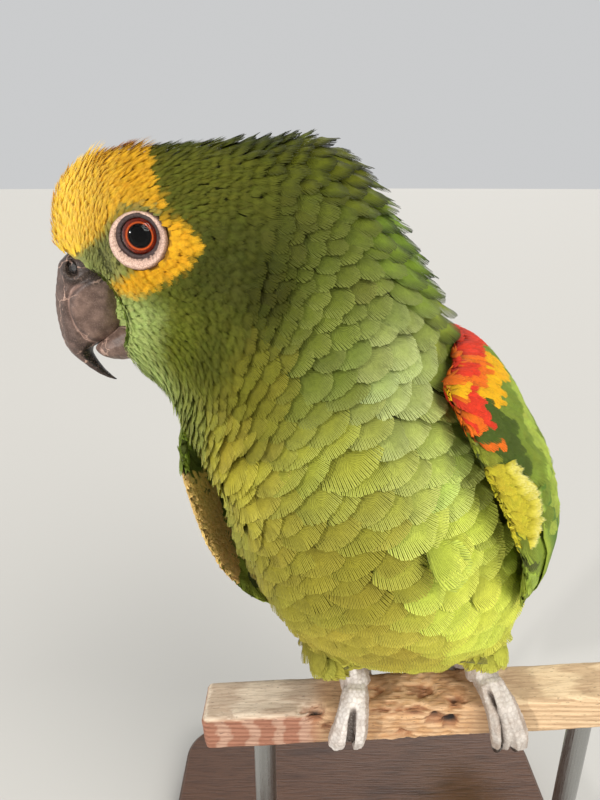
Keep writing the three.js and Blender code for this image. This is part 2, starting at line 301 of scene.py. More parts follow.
def away_from(surfaces, points):
    """How far each point is from the nearest of these surfaces."""
    return np.array([min(s.find_nearest(p)[3] for s in surfaces) for p in points])


def level_rows(mesh, x, level):
    """The closed lines on the mesh where x has this level: for each, its places as point a, point b and
    the part of the way between them."""
    ends = edges_of(mesh)
    over = x > level
    crossed = over[ends[:, 0]] != over[ends[:, 1]]
    start = np.empty(len(mesh.polygons), np.int64)
    mesh.polygons.foreach_get("loop_start", start)
    sides = np.empty(len(mesh.loops), np.int64)
    mesh.loops.foreach_get("edge_index", sides)
    face = np.repeat(np.arange(len(start)), np.diff(np.append(start, len(sides))))
    hit = crossed[sides]
    order = np.argsort(face[hit], kind="stable")
    by_face, cut = face[hit][order], sides[hit][order]
    first = np.flatnonzero(np.append(True, np.diff(by_face) > 0))
    pairs = [cut[i : i + 2] for i, n in zip(first, np.diff(np.append(first, len(cut)))) if n == 2]
    beside = {}
    for a, b in pairs:
        beside.setdefault(a, []).append(b)
        beside.setdefault(b, []).append(a)
    lines = []
    while beside:
        here = next(iter(beside))
        line = []
        while here is not None:
            line.append(here)
            following = beside.pop(here)
            here = next((n for n in following if n in beside), None)
        if len(line) > 8:
            line = np.array(line)
            a, b = ends[line, 0], ends[line, 1]
            lines.append((a, b, (level - x[a]) / (x[b] - x[a])))
    return lines


# ---------------------------------------------------------------- colours and finishes
def paint(red, green, blue):
    """A colour given as on a paint chart, 0 to 255, in the linear light that shaders use."""
    c = np.array([red, green, blue]) / 255
    return np.where(c > 0.04045, ((c + 0.055) / 1.055) ** 2.4, c / 12.92)


def opaque(colour):
    return (*(float(c) for c in colour), 1.0)


def add_node(tree, kind, inputs=(), **settings):
    """A shader node with its settings, its inputs set to numbers or joined to other nodes' sockets."""
    node = tree.nodes.new("ShaderNode" + kind)
    for key, value in settings.items():
        setattr(node, key, value)
    for key, value in dict(inputs).items():
        if isinstance(value, bpy.types.NodeSocket):
            tree.links.new(value, node.inputs[key])
        else:
            node.inputs[key].default_value = value
    return node


def mixed(tree, factor, a, b, how="MIX"):
    """The colour socket of two colours mixed by factor."""
    a, b = (c if isinstance(c, bpy.types.NodeSocket) else opaque(c) for c in (a, b))
    inputs = {0: factor, 6: a, 7: b}
    return add_node(tree, "Mix", inputs, data_type="RGBA", blend_type=how).outputs[2]


def sums(tree, how, a, b=0.0, c=0.0):
    return add_node(tree, "Math", {0: a, 1: b, 2: c}, operation=how).outputs[0]


def times(tree, a, b):
    return sums(tree, "MULTIPLY", a, b)


def ramped(tree, value, low, high, to_low=0.0, to_high=1.0):
    """A smooth step of value from low to high."""
    inputs = {0: value, 1: low, 2: high, 3: to_low, 4: to_high}
    return add_node(tree, "MapRange", inputs, interpolation_type="SMOOTHSTEP").outputs[0]


def object_place(tree, stretch=(1, 1, 1)):
    """Object coordinates in millimetres, divided by stretch."""
    coordinates = add_node(tree, "TexCoord").outputs["Object"]
    scale = tuple(1000 / s for s in stretch)
    return add_node(tree, "Mapping", {"Vector": coordinates, "Scale": scale}).outputs[0]


def speckle(tree, place, scale, detail=3.0, roughness=0.5):
    """Noise with this many grains to a millimetre."""
    inputs = {"Vector": place, "Scale": scale, "Detail": detail, "Roughness": roughness}
    return add_node(tree, "TexNoise", inputs).outputs["Fac"]


def new_finish(name, colour=(0.5, 0.5, 0.5), **sockets):
    """A material, its node tree and its main shader, with plain numbers on the shader's own sockets."""
    material = bpy.data.materials.new(name)
    material.use_nodes = True
    tree = material.node_tree
    shader = tree.nodes["Principled BSDF"]
    shader.inputs["Base Color"].default_value = opaque(colour)
    for key, value in sockets.items():
        shader.inputs[key.replace("_", " ").title().replace("Ior", "IOR")].default_value = value
    return material, tree, shader


def colour_with(tree, shader, colour):
    tree.links.new(colour, shader.inputs["Base Color"])


def painted(tree):
    """The colour that paint_points gave each point."""
    return add_node(tree, "Attribute", attribute_name="plumage").outputs["Color"]


def rough_up(tree, shader, height, depth, strength=1.0):
    """Bump from height, depth millimetres deep."""
    inputs = {"Height": height, "Distance": depth * MM, "Strength": strength}
    tree.links.new(add_node(tree, "Bump", inputs).outputs[0], shader.inputs["Normal"])


def plumage_finish(name, line_depth, line_dark, barbs=1.0):
    """Feather: its own colour, with painted shade in the fine furrows between the barbs, darker towards
    their ends. Each strip of the shape carries this many barbs."""
    material, tree, shader = new_finish(name, roughness=0.66)
    shader.inputs["Specular IOR Level"].default_value = 0.16
    vane = add_node(tree, "SeparateXYZ", {0: add_node(tree, "UVMap", uv_map="Vane").outputs[0]})
    off_centre = sums(tree, "PINGPONG", times(tree, vane.outputs[0], barbs), 0.5)  # 0 between two barbs
    furrow = ramped(tree, off_centre, 0.02, 0.3, 1, 0)
    towards_end = ramped(tree, vane.outputs[1], 0.05, 0.75, 0.25, 1)
    place = object_place(tree)
    soft = ramped(tree, speckle(tree, place, 0.25, 2), 0.3, 0.7)
    depth_here = sums(tree, "MULTIPLY_ADD", soft, line_dark * 0.6, line_dark * 0.4)
    # painted shade: the furrows between the barbs darkened, more towards the barbs' ends
    dark = times(tree, times(tree, furrow, towards_end), depth_here)
    mottling = ramped(tree, speckle(tree, place, 1.3, 4), 0.35, 0.7, 0, 0.3)
    mottled = mixed(tree, mottling, painted(tree), (0.5, 0.5, 0.42), "MULTIPLY")
    colour_with(tree, shader, mixed(tree, dark, mottled, (0.012, 0.016, 0.008)))
    rough_up(tree, shader, sums(tree, "SUBTRACT", 1.0, furrow), line_depth, 0.8)
    return material


PLUMAGE = plumage_finish("contour feather", 0.12, 0.75, 2.0)
DOWN = plumage_finish("face down", 0.05, 0.25)
QUILL_VANE = plumage_finish("flight feather vane", 0.05, 0.3)


# ---------------------------------------------------------------- feather shapes, modelled once
# a runs along the shaft from root to tip, b across from -1 to 1, rise is in parts of the half width.
class FeatherShape:
    def __init__(self):
        self.a, self.b, self.rise, self.rim = [], [], [], []
        self.faces, self.vane = [], []

    def point(self, a, b, rise=0.0, rim=0.0):
        for column, value in ((self.a, a), (self.b, b), (self.rise, rise), (self.rim, rim)):
            column.append(value)
        return len(self.a) - 1

    def face(self, corners, vane, side):
        """A face that looks up, given in the order for the left side."""
        turn = slice(None) if side > 0 else slice(None, None, -1)
        self.faces.append(corners[turn])
        self.vane.append(vane[turn])

    def done(self):
        for key, value in list(vars(self).items()):
            setattr(self, key, np.array(value))
        return self


def vane_shape(strips, broadest=0.5, flat=2.4, gap=0.15, ragged=0.05, seed=1):
    """A rounded feather whose barbs lie side by side in strips, each ending in a tooth of its own.
    The barbs leave the shaft sideways and then turn to run along the feather."""
    chance = np.random.default_rng(seed)
    shape = FeatherShape()
    front = np.linspace(1, 0, strips - 1)
    b_out = np.append([0.4, 0.82], front)
    a_out = np.append([0.06, 0.26], broadest + (1 - broadest) * (1 - front**flat) ** 0.6)
    a_shaft = 0.58 * np.linspace(0, 1, strips + 1) ** 1.2
    inner = 0.4
    shaft = [shape.point(a, 0, 0.06) for a in a_shaft]
    for side in (1, -1):
        a_mid = a_shaft + (a_out - a_shaft) * inner
        b_mid = b_out * 0.84
        ring = [shape.point(a, side * b, -0.05 * b, 0.15) for a, b in zip(a_mid, b_mid)]
        for k in range(strips):
            reach = 1 + chance.uniform(-ragged, ragged)
            ends = []
            for part in (gap, 1 - gap):
                a_end = a_out[k] + (a_out[k + 1] - a_out[k]) * part
                b_end = b_out[k] + (b_out[k + 1] - b_out[k]) * part
                a_root = a_mid[k] + (a_mid[k + 1] - a_mid[k]) * part
                b_root = b_mid[k] + (b_mid[k + 1] - b_mid[k]) * part
                a_end = a_root + (a_end - a_root) * reach
                b_end = b_root + (b_end - b_root) * reach
                bent = chance.uniform(-0.015, 0.015)
                ends.append(shape.point(a_end, side * b_end, -0.1 * b_end + bent, 1))
            here, there = side * k, side * k + side
            shape.face(
                [shaft[k], shaft[k + 1], ring[k + 1], ring[k]],
                [(here, 0), (there, 0), (there, inner), (here, inner)],
                side,
            )
            shape.face(
                [ring[k], ring[k + 1], ends[1], ends[0]],
                [(here, inner), (there, inner), (here + side * (1 - gap), 1), (here + side * gap, 1)],
                side,
            )
    return shape.done()


def wisp_shape(strands, spread=0.9, seed=1):
    """A small loose feather of the face: a few pointed strands that part towards their ends."""
    chance = np.random.default_rng(seed)
    shape = FeatherShape()
    for k in range(strands):
        aim = (k + 0.5) / strands * 2 - 1
        end = 1 - 0.32 * abs(aim) + chance.uniform(-0.06, 0.06)
        half = 0.55 / strands
        lift = 0.12 * (1 - abs(aim)) + chance.uniform(-0.06, 0.06)
        rows = [(0.0, aim * 0.3, half * 0.8), (end * 0.5, aim * spread * 0.75, half * 1.5)]
        rows.append((end * 0.8, aim * spread, half * 1.1))
        pairs = [[shape.point(a, b + w, lift * a, a * 0.4) for w in (-wide, wide)] for a, b, wide in rows]
        pairs.append([shape.point(end, aim * spread * 1.08 + w, lift, 1) for w in (-0.01, 0.01)])
        for n, (here, there) in enumerate(zip(pairs, pairs[1:])):
            low, high = n / 3, (n + 1) / 3
            corners = [here[0], there[0], there[1], here[1]]
            shape.face(corners, [(k + 0.35, low), (k + 0.35, high), (k + 0.65, high), (k + 0.65, low)], 1)
    return shape.done()


SHAPES = {
    "wisp": [wisp_shape(8, seed=s) for s in range(6)],
    "small": [vane_shape(6, flat=2.0, gap=0.2, ragged=0.16, seed=s) for s in range(5)],
    "medium": [vane_shape(9, gap=0.18, ragged=0.1, seed=s) for s in range(4)],
    "large": [vane_shape(13, gap=0.16, ragged=0.05, seed=s) for s in range(4)],
}


# ---------------------------------------------------------------- plumage by region
# Colours that both sides of the head share, each with its rim's.
TEMPLE = paint(90, 92, 22), paint(65, 68, 16)
EAR = paint(68, 72, 12), paint(46, 50, 8)
# For each region of the coat: where it is, then in millimetres the distance between rows, the feathers'
# width, the coat's depth and how far the tips stand out, then the feathers' colour, their rim's colour
# and how much of it shows. Between regions everything blends.
REGIONS = [
    (from_eyes(-25, 0, 3), 1.3, 1.05, 1.3, 0.3, paint(245, 195, 70), paint(255, 230, 150), 0.5),
    (from_eyes(-16, 0, 19), 1.5, 1.1, 1.5, 0.5, paint(230, 170, 45), paint(245, 205, 95), 0.5),
    (from_eyes(6, 0, 24), 1.8, 1.9, 2.0, 0.3, paint(75, 82, 12), paint(48, 54, 8), 0.6),
    (from_eyes(28, 0, 26), 2.8, 6.6, 3.0, 0.4, paint(70, 76, 8), paint(25, 32, 4), 0.9),
    (from_eyes(50, 0, 20), 4.2, 9.6, 4.6, 1.2, paint(105, 110, 15), paint(22, 25, 4), 1.0),
    (from_eyes(72, -2, -4), 5.4, 12.0, 6.5, 2.0, paint(130, 160, 42), paint(25, 35, 15), 1.0),
    (from_eyes(82, -6, -30), 5.7, 13.5, 6.0, 1.4, paint(148, 160, 55), paint(45, 50, 22), 0.9),
    (from_eyes(10, -18, 12), 1.7, 1.4, 1.6, 0.0, *TEMPLE, 0.5),
    (from_eyes(10, 18, 12), 1.7, 1.4, 1.6, 0.0, *TEMPLE, 0.5),
    (from_eyes(22, -22, -8), 2.0, 2.2, 2.2, 0.0, *EAR, 0.5),
    (from_eyes(22, 22, -8), 2.0, 2.2, 2.2, 0.0, *EAR, 0.5),
    # partly painted light: the chin and throat are painted lighter than their own pale green, to show lit
    # where the head shades them
    (from_eyes(-14, 0, -12), 1.3, 1.05, 1.2, 0.0, paint(160, 182, 100), paint(185, 205, 130), 0.5),
    (from_eyes(-6, 0, -36), 1.6, 1.2, 1.5, 0.1, paint(185, 205, 118), paint(212, 226, 148), 0.5),
    (from_eyes(12, -20, -26), 1.8, 1.6, 1.8, 0.1, paint(112, 118, 30), paint(85, 92, 20), 0.5),
    (from_eyes(19, -26, -28), 1.9, 2.2, 2.0, 0.1, paint(84, 88, 22), paint(64, 70, 16), 0.5),
    (from_eyes(12, 20, -26), 1.8, 1.6, 1.8, 0.1, paint(105, 112, 30), paint(80, 88, 20), 0.5),
    (from_eyes(0, 0, -56), 2.4, 5.8, 2.8, 0.4, paint(180, 195, 92), paint(212, 222, 118), 0.5),
    (from_eyes(30, -32, -34), 2.8, 9.6, 3.4, 0.3, paint(125, 120, 32), paint(155, 150, 46), 0.5),
    (from_eyes(6, -24, -50), 2.5, 7.0, 3.0, 0.3, paint(150, 158, 70), paint(185, 195, 104), 0.5),
    (from_eyes(30, 24, -34), 3.0, 7.8, 3.4, 0.3, paint(85, 95, 26), paint(112, 118, 40), 0.5),
    (from_eyes(48, -42, -30), 3.7, 14.6, 4.8, 0.7, paint(110, 122, 40), paint(155, 164, 84), 0.6),
    (from_eyes(48, 30, -24), 4.4, 11.0, 4.8, 0.7, paint(105, 128, 38), paint(56, 68, 26), 0.5),
    # painted sheen: a pale patch at the shoulder where light glances off the breast
    (from_eyes(64, -37, -33), 4.1, 17.5, 5.0, 0.8, paint(174, 188, 104), paint(210, 220, 150), 0.6),
    (from_eyes(33, -32, -11), 2.6, 6.2, 3.0, 0.3, paint(56, 58, 5), paint(80, 82, 12), 0.5),
    (from_eyes(44, -35, -14), 3.5, 10.5, 3.8, 0.5, paint(104, 114, 34), paint(154, 162, 80), 0.6),
    (on_trunk(20, 33, -20), 4.2, 19.0, 5.0, 0.6, paint(192, 208, 96), paint(220, 230, 136), 0.6),
    # painted shadow: the dark olive where the left wing shades the breast's side
    (on_trunk(2, 41, -8), 4.8, 13.0, 4.8, 0.3, paint(76, 78, 20), paint(96, 98, 30), 0.4),
    (on_trunk(38, 8, -42), 3.9, 20.5, 5.2, 0.7, paint(160, 162, 54), paint(190, 196, 95), 0.6),
    (on_trunk(36, -26, -30), 3.5, 18.0, 4.6, 0.6, paint(195, 180, 56), paint(222, 210, 88), 0.5),
    # painted light: the lit edge of the breast on the bird's left, painted lighter
    (on_trunk(30, 42, -12), 4.3, 16.0, 5.0, 0.8, paint(152, 168, 72), paint(184, 196, 98), 0.6),
    (on_trunk(5, 0, -45), 4.1, 21.5, 5.2, 0.5, paint(148, 138, 42), paint(175, 165, 64), 0.5),
    # partly painted light: the belly's left side, on which the light falls, is painted lighter than its own
    # yellow-green
    (on_trunk(0, 36, -28), 4.3, 19.0, 5.0, 0.5, paint(212, 226, 84), paint(240, 246, 122), 0.5),
    (on_trunk(-35, 0, -40), 4.3, 18.5, 4.8, 0.3, paint(182, 166, 62), paint(204, 190, 82), 0.4),
    # partly painted light: the lower belly's left side is painted lighter, as the light falls on it
    (on_trunk(-30, 36, -24), 4.5, 17.0, 4.8, 0.3, paint(225, 235, 88), paint(240, 245, 112), 0.4),
    # painted shade: the right flank, which lies away from the light, is painted a darker olive
    (on_trunk(-30, -38, -10), 4.2, 17.0, 4.8, 0.3, paint(108, 92, 22), paint(126, 108, 30), 0.4),
    (on_trunk(-66, 0, -18), 4.0, 14.0, 4.4, 0.2, paint(200, 192, 76), paint(220, 215, 96), 0.3),
    (on_trunk(20, -46, 10), 5.0, 13.4, 5.0, 0.4, paint(104, 124, 40), paint(60, 76, 26), 0.5),
    (on_trunk(40, 0, 42), 5.6, 14.0, 5.5, 0.8, paint(104, 134, 42), paint(38, 50, 18), 0.7),
    (on_trunk(0, 0, 42), 5.8, 15.0, 5.2, 0.3, paint(96, 128, 42), paint(50, 66, 24), 0.5),
    (on_trunk(-50, -5, 34), 5.6, 15.0, 4.8, 0.3, paint(112, 148, 50), paint(140, 168, 66), 0.4),
]
REGION_PLACES = np.array([region[0] for region in REGIONS])
REGION_VALUES = np.array([np.hstack(region[1:]) for region in REGIONS])


def plumage_at(points):
    """What the regions say at these places: row, width, depth, lift, colour, rim colour, share of rim."""
    apart = np.linalg.norm(points[:, None] - REGION_PLACES, axis=2)
    weight = 1 / (apart + 7 * MM) ** 6
    weight /= weight.sum(1, keepdims=True)
    value = weight @ REGION_VALUES
    sizes = value[:, :4].T * MM
    return (*sizes, *head_markings(points, value[:, 4:7], value[:, 7:10], value[:, 10]))


# Patches on both sides of the head, as outlines in millimetres behind and above the eyes.
YELLOW, PALE_YELLOW = paint(255, 212, 70), paint(255, 238, 156)
OCHRE, PALE_OCHRE = paint(212, 158, 28), paint(228, 184, 62)
FOREHEAD = [
    (-1, 27), (2, 19), (4, 13), (5.2, 10), (6.6, 7.6), (7, 5.4), (3, 6), (-3, 6.6), (-8, 4),
    (-9.5, 2.2), (-11, 0.4), (-14, -1.2), (-18, -2.8), (-21, -4.6), (-25, -5.4), (-30, -5), (-36, -2),
    (-36, 27),
]
CHEEK = [
    (6, 5), (8, 4.6), (11, 4.2), (12.6, 1.6), (14.4, -0.5), (14.8, -2.8), (12.3, -6), (8.5, -8.8),
    (4, -11.4), (-0.3, -13.6), (-4.7, -15), (-8.4, -14.8), (-10.6, -12.6), (-9.4, -10), (-5.5, -8),
    (-1, -6), (4, -3), (6, 0),
]
LORES = [
    (-8, 2.4), (-11, 0), (-14, -1.8), (-22, -5.5), (-20, -12), (-13, -13), (-10.4, -10.6), (-6, -8.4),
    (-5, -4),
]
BROW = [(-7, 5.4), (-6, 7), (-3, 8), (1, 8.3), (4.5, 7.4), (6, 6), (5, 5.4), (2, 6.6), (-3, 6.7)]
CHIN = [
    (-18, -9), (-10, -15.5), (-3, -16), (2, -18), (1, -25), (-1, -32), (2, -40), (2, -50), (-8, -54),
    (-24, -30),
]
# Each patch but the forehead's: its outline, the softness of its border, its colour and its rim's.
HEAD_PATCHES = [
    # partly painted light: the lores are painted lighter than their own colour, to show lit in the head's
    # shade
    (LORES, 1.6, paint(140, 142, 78), paint(176, 184, 116)),
    (CHEEK, 1.2, paint(230, 170, 26), paint(240, 198, 64)),
    (BROW, 0.5, paint(130, 128, 66), paint(164, 158, 88)),
    # partly painted light: the chin is painted lighter than its own colour, to show lit under the head's
    # shade
    (CHIN, 6.0, paint(186, 204, 118), paint(212, 224, 146)),
]


def depth_inside(outline, points):
    """How deep inside a closed outline these flat places are, or how far outside it if below 0."""
    corners = np.array(outline, float)
    following = np.roll(corners, -1, axis=0)
    edge = following - corners
    off = points[:, None] - corners
    along = np.clip((off * edge).sum(2) / (edge**2).sum(1), 0, 1)
    distance = np.linalg.norm(off - along[..., None] * edge, axis=2).min(1)
    spans = (corners[:, 1] > points[:, 1:]) != (following[:, 1] > points[:, 1:])
    rise = np.where(edge[:, 1] == 0, 1, edge[:, 1])
    crossing = corners[:, 0] + (points[:, 1:] - corners[:, 1]) * edge[:, 0] / rise
    inside = (spans & (points[:, :1] < crossing)).sum(1) % 2 == 1
    return np.where(inside, distance, -distance)


def head_markings(points, colour, rim, rim_share):
    """Paints the patches of the head over the regions' own colours. The forehead deepens towards the
    crown."""
    where = (points - BETWEEN_EYES)[:, [0, 2]] / MM
    on_head = smooth_step(30, 22, where[:, 0])
    deep = smooth_step(-19, 0, where[:, 0] + 0.2 * where[:, 1])[:, None]
    share = (smooth_step(-0.9, 0.9, depth_inside(FOREHEAD, where)) * on_head)[:, None]
    colour = colour + (YELLOW + (OCHRE - YELLOW) * deep - colour) * share
    rim = rim + (PALE_YELLOW + (PALE_OCHRE - PALE_YELLOW) * deep - rim) * share
    for outline, soft, own, own_rim in HEAD_PATCHES:
        share = (smooth_step(-soft, soft, depth_inside(outline, where)) * on_head)[:, None]
        colour = colour + (own - colour) * share
        rim = rim + (own_rim - rim) * share
    return colour, rim, rim_share


def shaded(colours, towards, share):
    return colours + (towards - colours) * np.asarray(share, float)[:, None]


# ---------------------------------------------------------------- laying feathers on a surface
PATCH = 0.003  # of the OFBake map's width, for one feather


def paint_points(mesh, colours, worn=1.0):
    """Keeps a colour for each point, which the finishes read, and a fourth value: how worn the horn is, or
    on the skin how fine the coat is, which lessens its painted shade.
    """
    layer = mesh.color_attributes.new("plumage", "FLOAT_COLOR", "POINT")
    four = np.ones((len(colours), 4), np.float32)
    four[:, :3] = colours
    four[:, 3] = worn
    layer.data.foreach_set("color", four.ravel())


class Unwrap:
    """A surface unwrapped on its own shape, to say where on that map a feather's root is."""

    def __init__(self, piece):
        mesh = piece.data
        mesh.uv_layers.new(name="OFBake")
        pick(piece)
        bpy.ops.object.mode_set(mode="EDIT")
        bpy.ops.mesh.select_all(action="SELECT")
        bpy.ops.uv.smart_project(angle_limit=math.radians(60), island_margin=0.002)
        bpy.ops.object.mode_set(mode="OBJECT")
        self.mesh, self.points, self.surface = mesh, places(mesh), surface_of(piece)

    def at(self, root):
        spot, _, face, _ = self.surface.find_nearest(root.tolist())
        polygon = self.mesh.polygons[face]
        corners = self.points[list(polygon.vertices)]
        near = 1 / (np.linalg.norm(corners - np.array(spot), axis=1) + 1e-6) ** 2
        layer = self.mesh.uv_layers["OFBake"].data
        return near @ np.array([layer[k].uv[:] for k in polygon.loop_indices]) / near.sum()


class Coat:
    """Feathers gathered for one piece, all laid on the same surface."""

    def __init__(self, name, surface, unwrap, finish):
        self.name, self.surface, self.unwrap, self.finish = name, surface, unwrap, finish
        self.points, self.quads, self.vane, self.colours, self.bake = [], [], [], [], []
        self.count = 0

    def laid(self, flat, height):
        """These places moved to the surface and then out from it by the height."""
        placed = np.empty_like(flat)
        for n, place in enumerate(flat.tolist()):
            spot, facing = self.surface.find_nearest(place)[:2]
            placed[n] = spot + facing * height[n]
        return placed

    def add(self, points, quads, vane, colours, a, b, root):
        """Takes in one feather. a and b are its points' places along and across it, for its patch on
        the map."""
        self.points.append(points)
        self.quads.append(quads + self.count)
        self.vane.append(vane.reshape(-1, 2))
        self.colours.append(colours)
        patch = np.stack([a - 0.5, b * 0.5], 1)[quads.ravel()] * PATCH
        self.bake.append(patch + self.unwrap.at(root))
        self.count += len(points)

    def lay(
        self, shape, root, way, up, length, half_width, depth, lift, colour, rim, rim_share,
        roll=0.0, painted_shade=0.5,
    ):
        """One short feather: its root lies depth under the surface, and its tip stands lift over it."""
        across = np.cross(up, way)
        flat = root + np.outer(shape.a * length, way) + np.outer(shape.b * half_width, across)
        height = -depth + (depth + lift) * shape.a + half_width * (shape.rise + roll * shape.b)
        # painted shade: each feather is darker towards its root, which the feathers over it shade;
        # painted_shade is the share of its colour that the root keeps
        painted_shade = painted_shade + (1 - painted_shade) * smooth_step(0.05, 0.7, shape.a)
        edge = (shape.rim * smooth_step(0.2, 0.9, shape.a) * rim_share)[:, None]
        colours = (colour * (1 - edge) + rim * edge) * painted_shade[:, None]
        self.add(self.laid(flat, height), shape.faces, shape.vane, colours, shape.a, shape.b, root)

    def lay_long(self, shaft, half_width, height, colour, edge_colour, tip_colour, blunt=0.84):
        """One flight or tail feather along the places of its shaft, which lie on the surface."""
        t = np.linspace(0, 1, len(shaft))
        tangent = unit(np.gradient(shaft, axis=0))
        facing = np.array([self.surface.find_nearest(p)[1][:] for p in shaft.tolist()])
        across = unit(np.cross(facing, tangent))
        width = half_width * (0.45 + 0.55 * smooth_step(0, 0.2, t))
        width *= np.sqrt(np.clip(1 - (np.clip(t - blunt, 0, 1) / (1.0001 - blunt)) ** 2, 0.003, 1))
        b = np.array([-1, -0.7, -0.35, -0.06, 0.06, 0.35, 0.7, 1])
        rise = np.array([-0.12, 0.02, 0.12, 0.3, 0.3, 0.12, 0.02, -0.12]) * MM
        n, m = len(t), len(b)  # places along the feather and across it
        flat = (shaft[:, None] + across[:, None] * (width[:, None] * b)[..., None]).reshape(-1, 3)
        tt, bb = np.repeat(t, m), np.tile(b, n)
        start = (np.arange(n - 1)[:, None] * m + np.arange(m - 1)).ravel()
        quads = np.stack([start, start + m, start + m + 1, start + 1], 1)
        reach = np.linalg.norm(np.diff(shaft, axis=0), axis=1).sum()
        slant = (tt * reach - abs(bb) * np.repeat(width, m) * 0.9) / (0.75 * MM)
        vane = np.stack([slant, abs(bb)], 1)[quads.ravel()]
        edge = smooth_step(0.55, 1, abs(bb))[:, None]
        end = smooth_step(0.6, 0.95, tt)[:, None]
        colours = (colour * (1 - edge) + edge_colour * edge) * (1 - end) + tip_colour * end
        placed = self.laid(flat, height + np.tile(rise, n))
        self.add(placed, quads, vane, colours, tt, bb, shaft[0])

    def build(self):
        """The gathered feathers as one mesh object."""
        mesh = bpy.data.meshes.new(self.name)
        quads = np.concatenate(self.quads)
        mesh.vertices.add(self.count)
        mesh.loops.add(quads.size)
        mesh.polygons.add(len(quads))
        mesh.vertices.foreach_set("co", np.concatenate(self.points).astype(np.float32).ravel())
        mesh.loops.foreach_set("vertex_index", quads.astype(np.int32).ravel())
        mesh.polygons.foreach_set("loop_start", np.arange(0, quads.size, 4, dtype=np.int32))
        mesh.polygons.foreach_set("use_smooth", np.ones(len(quads), bool))
        mesh.update(calc_edges=True)
        for name, places_on_map in (("Vane", self.vane), ("OFBake", self.bake)):
            layer = mesh.uv_layers.new(name=name)
            layer.data.foreach_set("uv", np.concatenate(places_on_map).astype(np.float32).ravel())
        paint_points(mesh, np.concatenate(self.colours))
        mesh.materials.append(self.finish)
        return new_object(self.name, mesh)


# ---------------------------------------------------------------- skin
def skin_piece():
    """The body under its coat: the outer form drawn in by the coat's depth, and more behind the eyelids."""
    skin = new_object("skin", BODY_FORM.data.copy())
    mesh = skin.data
    points = places(mesh)
    depth = plumage_at(points)[2]
    set_places(mesh, points - normals(mesh) * depth[:, None])
    finish_with(skin, "SMOOTH", factor=0.5, iterations=3)
    mesh = skin.data
    points = places(mesh)
    for eye in EYES.values():
        off = np.hypot(points[:, 0] - eye[0], points[:, 2] - eye[2]) / MM
        near = smooth_step(8.5, 6.0, off) * (abs(points[:, 1] - eye[1]) < 12 * MM)
        points[:, 1] -= np.sign(eye[1] - MIDLINE) * 3.2 * MM * near
    set_places(mesh, points)
    values = plumage_at(places(mesh))
    # painted shade: the skin takes the coat's colour darkened, as it shows in the shade between the
    # feathers, less dark under the fine coat of the face
    fine = smooth_step(5, 2.5, values[1] / MM)[:, None]
    paint_points(mesh, values[4] * (0.4 + 0.5 * fine), fine[:, 0])
    mesh.materials.append(UNDERDOWN)
    return smooth_shaded(skin)


def underdown_finish():
    """The short down that shows between the feathers, with painted shade between its tufts."""
    material, tree, shader = new_finish("underdown", roughness=0.9, sheen_weight=0.15)
    own = add_node(tree, "Attribute", attribute_name="plumage")
    tufts = speckle(tree, object_place(tree), 1.6, 5, 0.65)
    deep = sums(tree, "MULTIPLY_ADD", own.outputs["Alpha"], -0.35, 0.5)  # less on the fine coat
    # painted shade between the tufts of down
    painted_shade = times(tree, ramped(tree, tufts, 0.35, 0.65), deep)
    colour_with(tree, shader, mixed(tree, painted_shade, own.outputs["Color"], (0.01, 0.012, 0.006)))
    rough_up(tree, shader, tufts, 0.3)
    return material


UNDERDOWN = underdown_finish()
SKIN = skin_piece()
SKIN_MAP = Unwrap(SKIN)


# ---------------------------------------------------------------- body coat
BARE_RING = 7.1 * MM
RING_BELOW = 1.2 * MM  # the ring's middle lies this far under the eye's
RING_NEAR = 7 * MM  # this close to the ring, feathers turn away from it
FLOW_HELD = 3 * MM  # this close to the bill, the lie of the coat starts, and somewhat further out it ends


def comb_body():
    """The lie of the coat at each point of the body form, from the bill to the tail and shanks, and the
    number of its row."""
    mesh = BODY_FORM.data
    points = places(mesh)
    start = away_from(BILL_SURFACES, points) < FLOW_HELD
    ends = [surface_of(copies_of(f"{n}_form", [n])) for n in ("tail", "foot_left", "foot_right")]
    end = away_from(ends, points) < FLOW_HELD * 1.5
    ways = unit(slopes(mesh, steady_flow(mesh, start | end, end.astype(float))))
    return ways, row_count(mesh, ways, plumage_at(points)[0])


def rows_along(mesh, ways, rows):
    """The lines on the mesh where rows is a whole number: its number, its places and the ways at them."""
    points = places(mesh)
    for number in range(math.ceil(rows.min()), math.floor(rows.max()) + 1):
        for a, b, part in level_rows(mesh, rows, number):
            part = part[:, None]
            yield number, points[a] * (1 - part) + points[b] * part, ways[a] * (1 - part) + ways[b] * part


def spread_evenly(places_on_line, ways, gaps, number):
    """Roots spread round a closed line, each pair apart by the gap wanted there and every other row set
    off by half a gap. Gives the roots, the ways at them and the index of the line's place before each."""
    following = np.roll(places_on_line, -1, axis=0)
    length = np.linalg.norm(following - places_on_line, axis=1)
    share = np.append(0, np.cumsum(length / ((gaps + np.roll(gaps, -1)) / 2)))
    count = max(3, round(share[-1]))
    offset = 0.5 * (number % 2)
    wanted = (np.arange(count) + offset + rng.uniform(-0.12, 0.12, count)) % count / count * share[-1]
    here = np.clip(np.searchsorted(share, wanted, side="right") - 1, 0, len(length) - 1)
    there = (here + 1) % len(length)
    part = ((wanted - share[here]) / (share[here + 1] - share[here]))[:, None]
    roots = places_on_line[here] * (1 - part) + places_on_line[there] * part
    return roots, unit(ways[here] * (1 - part) + ways[there] * part), here


OVERLAP = 2.5  # a feather's length, in its row's spacing
SHOWN_FROM = 1.5  # a row's spacings from a feather's root to the middle of the part that shows
SCATTER = 0.4  # of a row's spacing, by which the small feathers of the head stray from their row
# Places where the coat is ruffled: the middle, how far it reaches in millimetres and how much.
RUFFLED = [
    (on_trunk(4, 26, -32), 14, 0.5),
    (on_trunk(-12, 34, -22), 12, 0.35),
    (on_trunk(34, 30, -6), 10, 0.3),
]
